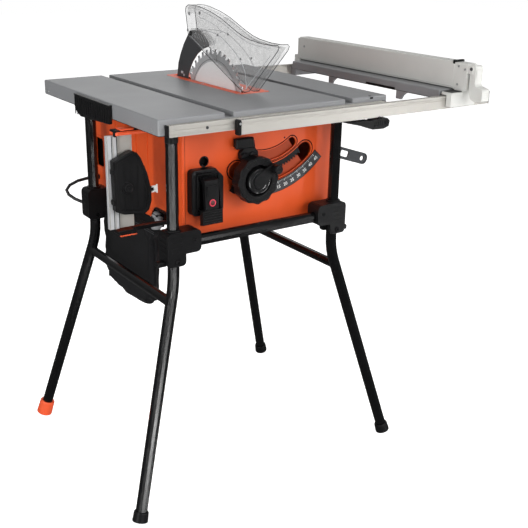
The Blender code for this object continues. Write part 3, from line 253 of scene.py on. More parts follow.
# darker than the fence white: painted shade in the fence beam's grooves
surface("painted_groove_shade", srgb("8a8a88"), 0.5, tint=0.05, grain=700, bump=0.03)
surface("hose", srgb("8d8e90"), 0.35, tint=0.12, grain=600, bump=0.1)
surface("tooth_dark", srgb("58595b"), 0.45, 0.6, tint=0.08, grain=600, bump=0.1)
surface("red_deep", srgb("4a1014"), 0.4, tint=0.06, grain=1300, bump=0.05)
surface("gloss_black", srgb("141415"), 0.16, tint=0.08, grain=600, bump=0.02, coat=0.5)
surface("blade_plate", srgb("f2f2f2"), 0.4, 0.1, tint=0.02, grain=500, bump=0.04, streak=(3, 0.2, 3))
surface("carbide", srgb("d8d9da"), 0.22, 0.9, tint=0.03, grain=700, bump=0.04)
surface("zinc", srgb("a9aaab"), 0.35, 0.6, tint=0.05, grain=700, bump=0.05)
clear_plastic("clear_plastic")
cloth("bag_fabric", srgb("131315"))


# ---------------------------------------------------------------- the frame's own nodes
EDGE_MM = {"table_top": 1.2, "throat_insert": 0.4, "case_shell": 1.2, "fence_beam": 0.8, "fence_head": 1.0,
           "fence_lever": 1.6, "extension_table": 1.2, "switch_box": 2.0, "switch_paddle": 1.5,
           "bevel_wheel": 1.5, "height_crank": 1.2, "bevel_lock_lever": 1.5, "side_carry_handle": 2.0,
           "saw_blade": 0.0, "driven_gear": 0.2, "motor_armature": 0.0, "bevel_rack": 0.2,
           "bevel_scale": 0.2, "riving_knife": 0.3, "miter_bar": 0.4, "miter_fence_plate": 0.6,
           "miter_head": 1.5, "extension_lock_lever": 2.0, "blade_wrench": 0.8, "guard_arm": 0.6}
EDGE_MM.update({f"{end}_{side}_bracket": 3.4 for side, _ in POSTS_X for end, _ in POSTS_Y})
OTHER_EDGES_MM = 0.5


def dress(obj, look, edge):
    """Gives a frame node its finish, and rounds its edges without touching its own mesh."""
    obj.data.materials.clear()
    obj.data.materials.append(LOOKS[look])
    weld = obj.modifiers.new("weld", "WELD")
    weld.merge_threshold = 0.00002
    if edge:
        flat = obj.modifiers.new("flat", "DECIMATE")
        flat.decimate_type = "DISSOLVE"
        flat.angle_limit = math.radians(0.6)
        flat.delimit = {"MATERIAL"}
        bevel = obj.modifiers.new("edges", "BEVEL")
        bevel.width = edge / 1000
        bevel.segments = 2
        bevel.limit_method = "ANGLE"
        bevel.angle_limit = math.radians(33)
        bevel.use_clamp_overlap = True
    even = obj.modifiers.new("even", "WEIGHTED_NORMAL")
    even.keep_sharp = True
    even.weight = 60


def smooth_by_angle(mesh, degrees=35):
    mesh.shade_smooth()
    mesh.set_sharp_from_angle(angle=math.radians(degrees))


slots = {row["node"]: row["material_slot"] for row in frame["record"]["subparts"]}
for node, obj in frame["nodes"].items():
    dress(obj, slots[node], EDGE_MM.get(node, OTHER_EDGES_MM))


def repaint(node, look, chosen):
    """Gives some faces of a node another finish; chosen takes a face's middle in table millimetres."""
    mesh = frame["nodes"][node].data
    mesh.materials.append(LOOKS[look])
    for face in mesh.polygons:
        middle = (face.center - TABLE_ORIGIN) * 1000
        if chosen(middle, face.normal):
            face.material_index = len(mesh.materials) - 1


# ---------------------------------------------------------------- shapes, all in table millimetres
AXES = {"xy": ((1, 0, 0), (0, 1, 0), (0, 0, 1)), "xz": ((1, 0, 0), (0, 0, 1), (0, 1, 0)),
        "yz": ((0, 1, 0), (0, 0, 1), (1, 0, 0))}


def add_box(bm, low, high, soften=0.0):
    low, high = Vector(low), Vector(high)
    made = bmesh.ops.create_cube(bm, size=1.0)["verts"]
    bmesh.ops.scale(bm, vec=high - low, verts=made)
    bmesh.ops.translate(bm, vec=(low + high) / 2, verts=made)
    if soften:
        edges = list(dict.fromkeys(e for v in made for e in v.link_edges))
        bmesh.ops.bevel(bm, geom=edges, offset=soften, segments=2, affect="EDGES")


def add_lathe(bm, profile, place, direction, steps=24):
    """A solid of revolution; profile pairs are (radius, height along the direction)."""
    turn = Vector(direction).to_track_quat("Z", "Y").to_matrix()
    rings = []
    for radius, height in profile:
        count = 1 if radius < 0.01 else steps
        ring = []
        for i in range(count):
            a = math.tau * i / steps
            reach = radius if count > 1 else 0.0
            spot = Vector((reach * math.cos(a), reach * math.sin(a), height))
            ring.append(bm.verts.new(turn @ spot + Vector(place)))
        rings.append(ring)
    for low, high in zip(rings, rings[1:]):
        for i in range(steps):
            j = (i + 1) % steps
            corners = [low[i % len(low)], low[j % len(low)], high[j % len(high)], high[i % len(high)]]
            unique = [v for k, v in enumerate(corners) if v not in corners[:k]]
            if len(unique) > 2:
                bm.faces.new(unique)


def add_rod(bm, start, end, radius, steps=20, soften=0.0, far=None):
    start, end = Vector(start), Vector(end)
    length = (end - start).length
    tip = radius if far is None else far
    profile = [(0, 0), (radius - soften, 0), (radius, soften), (tip, length - soften),
               (tip - soften, length), (0, length)]
    add_lathe(bm, profile, start, end - start, steps)


def add_plate(bm, outlines, plane, first, last):
    """A flat piece between two heights over a plane; an outline inside another is a hole."""
    data = bpy.data.curves.new("outline", "CURVE")
    data.dimensions = "2D"
    data.fill_mode = "BOTH"
    data.extrude = (last - first) / 2
    for outline in outlines:
        spline = data.splines.new("POLY")
        spline.points.add(len(outline) - 1)
        for point, (u, v) in zip(spline.points, outline):
            point.co = (u, v, 0, 1)
        spline.use_cyclic_u = True
    holder = bpy.data.objects.new("outline", data)
    mesh = bpy.data.meshes.new_from_object(holder)
    u, v, w = (Vector(axis) for axis in AXES[plane])
    for vertex in mesh.vertices:
        vertex.co = u * vertex.co.x + v * vertex.co.y + w * (vertex.co.z + (first + last) / 2)
    bm.from_mesh(mesh)
    bpy.data.objects.remove(holder)
    bpy.data.meshes.remove(mesh)
    bpy.data.curves.remove(data)


def smooth_path(points, count):
    """Points along a smooth curve through the given ones."""
    points = [Vector(p) for p in points]
    ends = [2 * points[0] - points[1], *points, 2 * points[-1] - points[-2]]
    path = []
    for k in range(1, len(ends) - 2):
        a, b, c, d = ends[k - 1:k + 3]
        for i in range(count):
            t = i / count
            path.append(0.5 * (2 * b + (c - a) * t + (2 * a - 5 * b + 4 * c - d) * t * t
                               + (3 * b - a - 3 * c + d) * t ** 3))
    return path + [points[-1]]


def add_tube(bm, points, radius, steps=10, closed=False):
    """A bar along points; radius is a number, or one for each point."""
    points = [Vector(p) for p in points]
    count = len(points)
    radii = radius if isinstance(radius, list) else [radius] * count
    rings, side = [], None
    for k, point in enumerate(points):
        before = points[k - 1] if k or closed else point
        after = points[(k + 1) % count] if k < count - 1 or closed else point
        along = (after - before).normalized()
        side = (along.orthogonal() if side is None else side - along * side.dot(along)).normalized()
        other = along.cross(side)
        rings.append([bm.verts.new(point + radii[k] * (side * math.cos(math.tau * i / steps)
                                                        + other * math.sin(math.tau * i / steps)))
                      for i in range(steps)])
    pairs = list(zip(rings, rings[1:])) + ([(rings[-1], rings[0])] if closed else [])
    for low, high in pairs:
        for i in range(steps):
            bm.faces.new((low[i], low[(i + 1) % steps], high[(i + 1) % steps], high[i]))
    if not closed:
        bm.faces.new(list(reversed(rings[0])))
        bm.faces.new(rings[-1])


def add_screw(bm, place, direction, radius=3.0, height=1.4):
    """A round screw head with a sunk six-sided socket."""
    inner = radius * 0.45
    profile = [(radius, -0.3), (radius, height * 0.45), (radius * 0.82, height * 0.9),
               (inner * 1.15, height), (inner, height), (inner, height * 0.25), (0, height * 0.25)]
    add_lathe(bm, profile, place, direction, 18)


def add_torus(bm, place, direction, ring, thick, steps=40, sides=10):
    turn = Vector(direction).to_track_quat("Z", "Y").to_matrix()
    path = [turn @ Vector((ring * math.cos(math.tau * i / steps), ring * math.sin(math.tau * i / steps), 0))
            + Vector(place) for i in range(steps)]
    add_tube(bm, path, thick, sides, closed=True)


def rounded(low, high, radius, steps=5):
    """A rectangle's outline with rounded corners."""
    (u0, v0), (u1, v1) = low, high
    centres = ((u1 - radius, v1 - radius, 0), (u0 + radius, v1 - radius, 90),
               (u0 + radius, v0 + radius, 180), (u1 - radius, v0 + radius, 270))
    points = []
    for u, v, first in centres:
        for i in range(steps + 1):
            a = math.radians(first + 90 * i / steps)
            points.append((u + radius * math.cos(a), v + radius * math.sin(a)))
    return points


def circle(u, v, radius, steps=28):
    return [(u + radius * math.cos(math.tau * i / steps), v + radius * math.sin(math.tau * i / steps))
            for i in range(steps)]


def arc_band(radius, half, first, last, steps=28, round_ends=True):
    """The outline of a strip along an arc round the tilt line, angles in degrees."""
    angles = [first + (last - first) * i / steps for i in range(steps + 1)]
    reach = math.degrees(half / radius)
    turns = [math.pi * i / 9 for i in range(1, 9)] if round_ends else []
    points = [polar(radius + half, a) for a in angles]
    points += [polar(radius + half * math.cos(t), last + reach * math.sin(t)) for t in turns]
    points += [polar(radius - half, a) for a in reversed(angles)]
    points += [polar(radius - half * math.cos(t), first - reach * math.sin(t)) for t in turns]
    return points


def piece(name, bm, look, body, soften=0.0, sharp=35):
    """Ends a shape: into the row frame, with its finish, riding on its body."""
    bmesh.ops.remove_doubles(bm, verts=bm.verts, dist=0.0005)
    bmesh.ops.recalc_face_normals(bm, faces=bm.faces)
    for vertex in bm.verts:
        vertex.co = at(*vertex.co)
    mesh = bpy.data.meshes.new(name)
    bm.to_mesh(mesh)
    bm.free()
    smooth_by_angle(mesh, sharp)
    mesh.materials.append(LOOKS[look])
    obj = bpy.data.objects.new(name, mesh)
    scene.collection.objects.link(obj)
    if soften:
        bevel = obj.modifiers.new("edges", "BEVEL")
        bevel.width = soften / 1000
        bevel.segments = 2
        bevel.limit_method = "ANGLE"
        bevel.angle_limit = math.radians(33)
        even = obj.modifiers.new("even", "WEIGHTED_NORMAL")
        even.keep_sharp = True
    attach(obj, body)
    return obj


def boxes(name, look, body, *spans, edge=0.0):
    """A piece of boxes; each span is a low corner, a high corner and how far its edges soften."""
    bm = bmesh.new()
    for span in spans:
        add_box(bm, *span)
    return piece(name, bm, look, body, edge)


def turned(name, look, body, *shapes, edge=0.0):
    """A piece of turned shapes; each is a profile, a place, a direction and a count of steps."""
    bm = bmesh.new()
    for shape in shapes:
        add_lathe(bm, *shape)
    return piece(name, bm, look, body, edge)


def plates(name, look, body, plane, *sheets, edge=0.0):
    """A piece of flat sheets; each is its outlines and the two heights it spans over the plane."""
    bm = bmesh.new()
    for outlines, first, last in sheets:
        add_plate(bm, outlines, plane, first, last)
    return piece(name, bm, look, body, edge)


def screws(name, look, body, *groups):
    """A piece of screw heads; each group is a direction, a radius, a height and the places."""
    bm = bmesh.new()
    for direction, radius, height, *places in groups:
        for place in places:
            add_screw(bm, place, direction, radius, height)
    return piece(name, bm, look, body)


# ---------------------------------------------------------------- table and rails
def build_table_details():
    # painted shade: the floors of the table's slots get a darker copy of the table grey
    repaint("table_top", "thread_grey_and_slot_shade", lambda c, n: n.z > 0.9 and -9.9 < c.z < -9.1)
    # painted shade: the table's downward faces below its top are coloured near black
    repaint("table_top", "black_and_painted_shade", lambda c, n: n.z < -0.5 and c.z < -5)
    head = [(3.6, -0.1), (3.4, 0.25), (2.2, 0.25), (1.7, -1.2), (0, -1.2)]
    turned("insert_screws", "zinc", CASE,
           *[(head, (x, y, 0), UP, 18) for x in (293, 363) for y in (172, 326, 481)])
    # painted shade: a near-black disc stands for the shade inside the insert's finger hole
    turned("insert_finger_hole", "black_and_painted_shade", CASE,
           ([(7.0, 0.0), (6.6, 0.5), (5.4, 0.5), (5.0, -0.4), (0, -0.4)], (345, 181, 0), UP, 28))
    bm = bmesh.new()
    add_lathe(bm, [(3.2, 0), (3.0, 0.5), (0, 0.5)], (522, 5.5, 0), UP, 18)
    add_box(bm, (518, -0.35, -5.4), (527, 0.2, -1.6), 0.4)
    piece("table_front_stop", bm, "black_and_painted_shade", CASE)
    bm = bmesh.new()
    for y in (25, 270, 535):
        add_screw(bm, (-0.2, y, -24), LEFT, 3.2, 1.5)
        add_screw(bm, (567.2, y, -24), RIGHT, 3.2, 1.5)
    piece("skirt_screws", bm, "zinc", CASE)


def build_rulers():
    """Rulers, caps and screws on the rails: each ruler is a pale strip and its dark marks."""
    step = 5
    for name, body, x0, x1, y0, y1, z in (("front_ruler", CASE, 20, 547, -10.5, -4.0, -11),
                                          ("extension_ruler", "extension", 172, 862, -25.4, -18.4, -12.5)):
        boxes(name, "rail_aluminium", body, ((x0, y0, z - 0.1), (x1, y1, z + 0.25)))
        bm = bmesh.new()
        for k in range(int((x1 - x0) / step)):
            x = x0 + 2 + k * step
            reach = 5.0 if k % 10 == 0 else 3.6 if k % 5 == 0 else 2.2
            add_box(bm, (x - 0.55, y0 + 0.2, z + 0.15), (x + 0.55, y0 + 0.4 + reach, z + 0.35))
        piece(name + "_marks", bm, "black_and_painted_shade", body)
    for name, y, way in (("front_rail_screws", -12.9, FRONT), ("rear_rail_screws", 571.0, REAR)):
        screws(name, "dark_steel", CASE, (way, 3.1, 1.3, *[(x, y, -22) for x in (99, 330, 500)]))
    boxes("front_rail_caps", "black_plastic", CASE,
          ((13.0, -13.6, -34), (16.2, 0.0, -10.4), 0.9), ((550.8, -13.6, -34), (553.6, -0.6, -10.4), 0.9))
    boxes("extension_rail_caps", "black_plastic", "extension",
          ((160.5, -28.2, -42.2), (168.6, -13.6, -11.6), 1.4),
          ((865.4, -27.6, -41.6), (866.6, -13.4, -12.0), 0.4),
          ((293.5, 571.6, -41.6), (300.4, 582.4, -12.0), 1.2), edge=0.3)
    screws("extension_cap_screw", "zinc", "extension", (FRONT, 2.4, 1.0, (164.5, -28.1, -19)))
    screws("extension_rail_screws", "zinc", "extension",
           (FRONT, 3.0, 1.2, (735, -26.9, -34), (797, -26.9, -34)))


# ---------------------------------------------------------------- case
def build_case_details():
    # painted shade: the tilt frame's faces behind the case front get half-bright orange for the shade inside
    # the case
    repaint("tilt_frame", "orange_painted_shade", lambda c, n: c.y < 108)

    def border(inset, corner):
        ring = rounded((105 + inset, -283 + inset), (512 - inset, 20), corner, 6)
        return [(u, min(v, -17.5)) for u, v in ring]

    plates("case_front_border", "orange_shell", CASE, "xz",
           ([border(1.6, 26.4), border(6.2, 22)], 96.6, 98.2), edge=0.7)
    # painted shade: a half-bright orange line stands for the shade along the inner edge of the front border
    plates("case_front_line", "orange_painted_shade", CASE, "xz",
           ([border(6.3, 21.9), border(7.8, 20.6)], 97.4, 98.2))
    slots_cut = ((165, 19, -26, 41), (126, 12, -24, 35))
    plates("slot_rims", "orange_shell", CASE, "xz",
           *[([arc_band(radius, half + 1.5, first - 0.4, last + 0.4),
               arc_band(radius, half - 0.2, first, last)], 97.2, 98.3)
             for radius, half, first, last in slots_cut], edge=0.3)
    plates("slot_shadow_lines", "black_and_painted_shade", CASE, "xz",
           *[([arc_band(radius, half + 3.5, first - 0.8, last + 0.8),
               arc_band(radius, half + 1.4, first - 0.4, last + 0.4)], 97.6, 98.2)
             for radius, half, first, last in slots_cut])
    turned("case_front_bushings", "black_plastic", CASE,
           ([(9.3, -4), (9.3, 0.9), (11.4, 0.9), (11.9, -0.3)], (158, CASE_FRONT, -119), FRONT, 28),
           ([(2.0, -0.3), (2.0, 0.5), (0, 0.5)], (364.3, CASE_FRONT, -91), FRONT, 14))
    # painted shade: a near-black disc behind the front bushing stands for the shade inside its hole
    plates("case_front_plug", "black_and_painted_shade", CASE, "xz", ([circle(158, -119, 9.3)], 107.5, 108.5))
    boxes("case_side_ribs", "orange_shell", CASE,
          *[((103.7, y, -232), (105.4, y + 2.2, -40), 0.6) for y in (120, 246, 300, 352, 404)],
          ((103.7, 246, -234), (105.4, 406, -230.4), 0.6),
          *[((511.6, y, -232), (513.3, y + 2.2, -40), 0.6) for y in (170, 330, 460)])
    # painted shade: near-black strips stand for the shade inside the side vents
    boxes("case_side_vents", "black_and_painted_shade", CASE,
          *[((511.7, 205, z), (512.6, 300, z + 5), 0.4) for z in range(-150, -72, 13)])
    screws("rear_cover_screws", "zinc", CASE,
           (REAR, 3.4, 1.5, *[(x, 525.0, z) for x, z in ((128, -40), (488, -40), (128, -255), (488, -255),
                                                         (308, -262), (308, -32))]))
    vents = [-203.4 + 18 * row for row in range(6)]
    plates("rear_vent_rims", "black_plastic", CASE, "xz",
           *[([rounded((177, z - 3), (423, z + 11), 5, 3), rounded((180, z), (420, z + 8), 3, 2)],
              524.9, 526.2) for z in vents], edge=0.3)


def mark_angle(degrees):
    """Where a degree's mark stands on the arc scale."""
    return 43.7 - (45 - degrees) * 1.08


def build_scale():
    """White degree marks and generic numbers along the arc scale."""
    bm = bmesh.new()
    for n in range(0, 46):
        a = mark_angle(n)
        length, half = (5.5, 0.45) if n % 5 == 0 else (3.2, 0.3)
        reach = math.degrees(half / 200)
        outline = [polar(190.5, a - reach), polar(190.5, a + reach), polar(190.5 + length, a + reach),
                   polar(190.5 + length, a - reach)]
        add_plate(bm, [outline], "xz", 96.45, 96.8)
    for n in range(5, 50, 5):
        a = mark_angle(n)
        data = bpy.data.curves.new("number", "FONT")
        data.body = str(n)
        data.size = 10.5
        data.align_x = "CENTER"
        data.align_y = "CENTER"
        data.extrude = 0.18
        data.offset = 0.12
        holder = bpy.data.objects.new("number", data)
        scene.collection.objects.link(holder)
        bpy.context.view_layer.update()
        mesh = bpy.data.meshes.new_from_object(holder.evaluated_get(bpy.context.evaluated_depsgraph_get()))
        x, z = polar(204.5, a)
        lean = math.radians(a)
        for vertex in mesh.vertices:
            u, v = vertex.co.x, vertex.co.y
            vertex.co = (x + u * math.cos(lean) - v * math.sin(lean), 96.6 + vertex.co.z,
                         z + u * math.sin(lean) + v * math.cos(lean))
        bm.from_mesh(mesh)
        bpy.data.objects.remove(holder)
        bpy.data.meshes.remove(mesh)
    piece("scale_marks", bm, "white_print", CASE)
    rims = [arc_band(201.5, 13.1, -4.3, 47.3, round_ends=False),
            arc_band(201.5, 12.3, -3.9, 46.9, round_ends=False)]
    plates("scale_border", "black_plastic", CASE, "xz", (rims, 96.3, 97.9), edge=0.2)


# ---------------------------------------------------------------- switch and front controls
def build_switch_details():
    lean = (0, -1, 0.07)
    bm = bmesh.new()
    add_torus(bm, (155.5, 58.6, -198), lean, 6.6, 1.15, 36, 10)
    piece("paddle_ring", bm, "red_print", "switch_paddle")
    turned("paddle_ring_middle", "red_deep", "switch_paddle",
           ([(5.4, -0.6), (5.2, 0.4), (4.2, 0.7), (0, 0.3)], (155.5, 58.9, -198), lean, 28))
    boxes("paddle_pads", "black_plastic", "switch_paddle", ((141.5, 60.4, -187), (169.5, 66, -160), 1.6),
          *[((133, 54.2, -241 + 5.4 * k), (175.5, 55.9, -239 + 5.4 * k), 0.7) for k in range(5)])
    outer, inner = rounded((126.5, -221.5), (180.5, -138.5), 4), rounded((128.2, -219.8), (178.8, -140.2), 3)
    plates("switch_bezel", "black_plastic", CASE, "xz", ([outer, inner], 74.0, 77.0), edge=0.8)
    bm = bmesh.new()
    add_rod(bm, (153, 86, -144.5), (153, 79.5, -144.5), 4.6, 20, 1.2)
    piece("reset_button", bm, "red_deep", CASE)
    boxes("switch_cheeks", "gloss_black", CASE,
          ((128.3, 77.4, -219.6), (134.8, 85.2, -141), 1.2),
          ((174.6, 77.4, -219.6), (178.8, 85.2, -141), 1.0))
    screws("switch_screws", "dark_steel", CASE,
           (FRONT, 2.4, 1.0, (122.6, 76.5, -136.5), (186.5, 76.5, -222)))


def build_control_details():
    x, z = HUB
    bm = bmesh.new()
    add_torus(bm, (x, 50.3, z), FRONT, 47.0, 1.6, 72, 10)
    add_torus(bm, (x, 50.3, z), FRONT, 35.6, 1.3, 60, 10)
    for k in range(12):
        a = math.tau * (k + 0.5) / 12
        start = Vector((x + 37.4 * math.cos(a), 50.2, z + 37.4 * math.sin(a)))
        end = Vector((x + 44.8 * math.cos(a), 50.2, z + 44.8 * math.sin(a)))
        add_tube(bm, [start, (start + end) / 2, end], [0.5, 1.1, 0.5], 8)
    piece("bevel_wheel_rings", bm, "black_plastic", "bevel_wheel")
    bm = bmesh.new()
    add_lathe(bm, [(30.8, 3.0), (31.6, 1.0), (31.2, -1.6), (29.6, -2.4)], (x, 62.0, z), FRONT, 48)
    add_torus(bm, (x, 45.1, z), FRONT, 25.6, 1.0, 56, 10)
    piece("crank_disc_rings", bm, "gloss_black", "height_crank")
    profile = [(19.5, -0.4), (19.0, 0.5), (15.0, 1.0), (13.5, 0.4), (5.5, 0.2), (4.8, 1.0), (0, 1.3)]
    turned("crank_disc_cap", "gloss_black", "height_crank", (profile, (x, 45.0, z), FRONT, 48), edge=0.2)
    knob, lean = 42.5, math.radians(35)
    profile = [(9.7, -1.5), (9.4, 0.3), (8.0, 0.9), (6.6, 0.4), (5.4, -0.4), (0, -0.6)]
    place = (x + knob * math.cos(lean), 24.0, z + knob * math.sin(lean))
    turned("crank_knob_cap", "black_plastic", "crank_knob", (profile, place, FRONT, 28))
    shape = ((-48.5, -25), (-39, -8.0), (-26, -8.0), (0, 12), (12, 0), (0, -12), (-26, -33), (-40, -31))
    outline = [(x + u, z + v) for u, v in shape]
    plates("bevel_pointer", "black_plastic", "tilt_carriage", "xz",
           ([outline, circle(x, z, 7.6)], 84.0, 90.0), edge=1.4)
    x, z = polar(126, -18)
    profile = [(12.0, 0), (11.6, 3.0), (8.5, 4.6), (8.0, 3.6), (4.2, 3.4), (3.8, 4.4), (0, 4.6)]
    turned("lock_lever_caps", "black_plastic", "bevel_lock", (profile, (x, 83.6, z), FRONT, 28),
           ([(9.0, 0), (8.8, 4.4), (7.4, 5.6), (0, 5.8)], (249, 84.0, -117), FRONT, 24))


# ---------------------------------------------------------------- guard and blade
def build_guard_details():
    """Edge beads, moulded arcs and frame lines on both faces of the clear guard."""
    outline = [(411, 158), (408, 166), (398, 171), (372, 172), (345, 170), (300, 163), (260, 153),
               (225, 141), (192, 129), (165, 121), (140, 116.5), (100, 113), (60, 113), (40, 115.5),
               (35, 112), (40, 103), (140, 8.5), (158, 3.5), (169, 4), (388, 96.5), (399, 103)]
    middle_y = sum(y for y, _ in outline) / len(outline)
    middle_z = sum(z for _, z in outline) / len(outline)
    bm = bmesh.new()
    for x in (298.2, 323.8):
        ring = []
        for y, z in outline:
            inward = Vector((middle_y - y, middle_z - z)).normalized() * 0.6
            ring.append((x, y + inward.x, z + inward.y))
        add_tube(bm, ring, 0.8, 6, closed=True)
    piece("guard_edges", bm, "guard_edge", "blade_guard")
    bm = bmesh.new()
    arc = smooth_path([(0, 352, 118), (0, 315, 119.5), (0, 266, 115), (0, 211, 92), (0, 178, 71),
                       (0, 158, 48), (0, 150, 12)], 5)
    upper = smooth_path([(0, 348, 148), (0, 280, 135), (0, 252, 123)], 5)
    corner = [(0, 252, 123), (0, 273, 114), (0, 283, 90)]
    front = [(0, 64, 92), (0, 155, 11)]
    low = [(0, 178, 14), (0, 384, 100)]
    roof = smooth_path([(0, 398, 164), (0, 345, 163), (0, 262, 146), (0, 190, 122), (0, 140, 109),
                        (0, 64, 106)], 4)
    near = ((arc, 0.8), (upper, 0.5), (corner, 0.5), (front, 0.7), (low, 0.5), (roof, 0.6))
    for x, lines in ((297.7, near), (324.3, ((arc, 0.5), (front, 0.5), (roof, 0.4)))):
        for line, size in lines:
            add_tube(bm, [Vector((x, p[1], p[2])) for p in line], size, 6)
    piece("guard_ribs", bm, "guard_mark", "blade_guard")
    screws("guard_screws", "zinc", "blade_guard",
           *[(way, radius, 1.3, (x, y, z)) for x, way in ((297.4, LEFT), (324.6, RIGHT))
             for y, z, radius in ((391, 152, 4.0), (399, 114, 3.4), (268, 115, 2.8), (174, 73, 2.6))])
    profile = [(5.6, -0.6), (5.2, 1.1), (3.2, 1.5), (3.0, 1.0), (0, 1.0)]
    turned("guard_pivot_caps", "black_plastic", "guard_arm",
           *[(profile, (x, 388, 108), way, 24) for x, way in ((298.0, LEFT), (324.0, RIGHT))])
    bm = bmesh.new()
    for k in range(6):
        y = 322 + 12 * k
        for x in (301.6, 320.4):
            add_tube(bm, [(x, y, 91 + 2.0 * k), (x, y + 13, 106 + 1.5 * k)], 0.45, 6)
    piece("guard_arm_hatch", bm, "guard_mark", "guard_arm")


def build_blade_details():
    """Carbide tips, a dark ground band and expansion slots on the blade, and marks on the knife."""
    bm = bmesh.new()
    for k in range(40):
        a = math.tau * k / 40
        outward = Vector((0, math.cos(a), math.sin(a)))
        along = Vector((0, -math.sin(a), math.cos(a)))
        middle = Vector(BLADE) + outward * 124.9 + along * 1.6
        corners = []
        for u, v in ((-1.2, 2.3), (3.6, 1.6), (3.4, -3.4), (-1.0, -3.8)):
            corners.append(middle + along * u + outward * v)
        near = [bm.verts.new(c + Vector((-1.65, 0, 0))) for c in corners]
        far = [bm.verts.new(c + Vector((1.65, 0, 0))) for c in corners]
        bm.faces.new(near)
        bm.faces.new(list(reversed(far)))
        for i in range(4):
            j = (i + 1) % 4
            bm.faces.new((near[j], near[i], far[i], far[j]))
    piece("blade_tips", bm, "carbide", "arbor")
    bm = bmesh.new()
    for x in (309.72, 312.28):
        ring = [circle(BLADE[1], BLADE[2], radius, 72) for radius in (104.5, 103.5)]
        add_plate(bm, ring, "yz", x - 0.06, x + 0.06)
        for k in range(5):
            a = math.tau * (k + 0.3) / 5
            spots = [(BLADE[1] + r * math.cos(a + t), BLADE[2] + r * math.sin(a + t))
                     for r, t in ((116, -0.006), (116, 0.006), (100, 0.03), (100, 0.018))]
            add_plate(bm, [spots], "yz", x - 0.08, x + 0.08)
    piece("blade_rings", bm, "tooth_dark", "arbor")
    disc = [circle(BLADE[1], BLADE[2], 99, 72), circle(BLADE[1], BLADE[2], 21.5, 48)]
    plates("blade_discs", "blade_plate", "arbor", "yz",
           *[(disc, x - 0.04, x + 0.04) for x in (309.7, 312.3)])
    repaint("riving_knife", "tooth_dark", lambda c, n: True)
    bm = bmesh.new()
    for x in (309.7, 312.3):
        add_box(bm, (x - 0.15, 444, 7), (x + 0.15, 455, 13), 0.1)
        add_plate(bm, [circle(441, 4, 3.2, 20)], "yz", x - 0.15, x + 0.15)
    piece("knife_marks", bm, "guard_mark", "tilt_carriage")


# ---------------------------------------------------------------- fence and extension
def build_fence_details():
    # painted shade: grey strips stand for the shade in the fence beam's grooves
    bm = bmesh.new()
    add_box(bm, (753.72, -14, 5.0), (754.2, 563, 5.5))
    for x in (757.5, 779.5):
        add_box(bm, (x - 0.2, -14, 61.8), (x + 0.2, 567, 62.2))
    piece("fence_beam_grooves", bm, "painted_groove_shade", "rip_fence")
    boxes("fence_beam_cap", "black_plastic", "rip_fence", ((753.2, -15.9, 55.5), (784.8, -8.5, 64.8), 1.0),
          edge=0.3)
    bm = bmesh.new()
    for y, z in ((-28, 52.5), (-47, 47.5), (-28, 12)):
        add_screw(bm, (753.8, y, z), (-1, 0, 0), 2.7, 1.2)
    add_screw(bm, (753.8, 545, 38), (-1, 0, 0), 3.0, 1.2)
    for y in (20, 300, 540):
        add_screw(bm, (769, y, 61.6), (0, 0, 1), 2.8, 1.1)
    piece("fence_screws", bm, "zinc", "rip_fence")
    bm = bmesh.new()
    for x, way in ((754.3, -1), (783.7, 1)):
        profile = [(4.0, -0.5), (3.7, 1.1), (1.8, 1.3), (1.6, 0.6), (0, 0.6)]
        add_lathe(bm, profile, (x, -65, 50), (way, 0, 0), 20)
    piece("fence_pin_caps", bm, "tooth_dark", "rip_fence")
    boxes("fence_foot_pad", "black_plastic", "rip_fence", ((723.5, -42.5, -2.6), (798.5, -14.5, -1.9), 0.3))
    bm = bmesh.new()
    add_box(bm, (760.0, -77.4, 20), (778.0, -75.8, 48), 0.7)
    for k in range(4):
        add_box(bm, (760.5, -100.8, -13 + 5 * k), (777.5, -99.2, -11 + 5 * k), 0.7)
    piece("fence_lever_ridges", bm, "fence_white", "fence_lever")


def build_extension_details():
    # painted shade: the extension's downward faces under its top are coloured near black
    repaint("extension_table", "black_and_painted_shade", lambda c, n: n.z < -0.5 and c.z > -21 and c.y < 542)
    boxes("extension_edge_strips", "black_plastic", "extension",
          ((719.2, 138, -21.6), (720.4, 243, -15.4), 0.5))
    bm = bmesh.new()
    for y in (30, 280, 520):
        add_box(bm, (724.5, y, -19.5), (807.5, y + 4, -6.2), 0.6)
    piece("extension_underside_ribs", bm, "table_paint", "extension")
    bm = bmesh.new()
    for k in range(7):
        add_box(bm, (508 + 5.6 * k, -30.9, -60.5), (510.6 + 5.6 * k, -29.4, -48.0), 0.6)
    add_torus(bm, (522, -30.0, -43.6), FRONT, 4.6, 0.8, 28, 8)
    piece("lock_lever_grip", bm, "black_plastic", "extension_lock")
    bm = bmesh.new()
    add_screw(bm, (542, -30.2, -52), FRONT, 5.2, 1.6)
    piece("lock_lever_pin_head", bm, "black_rubber", CASE)


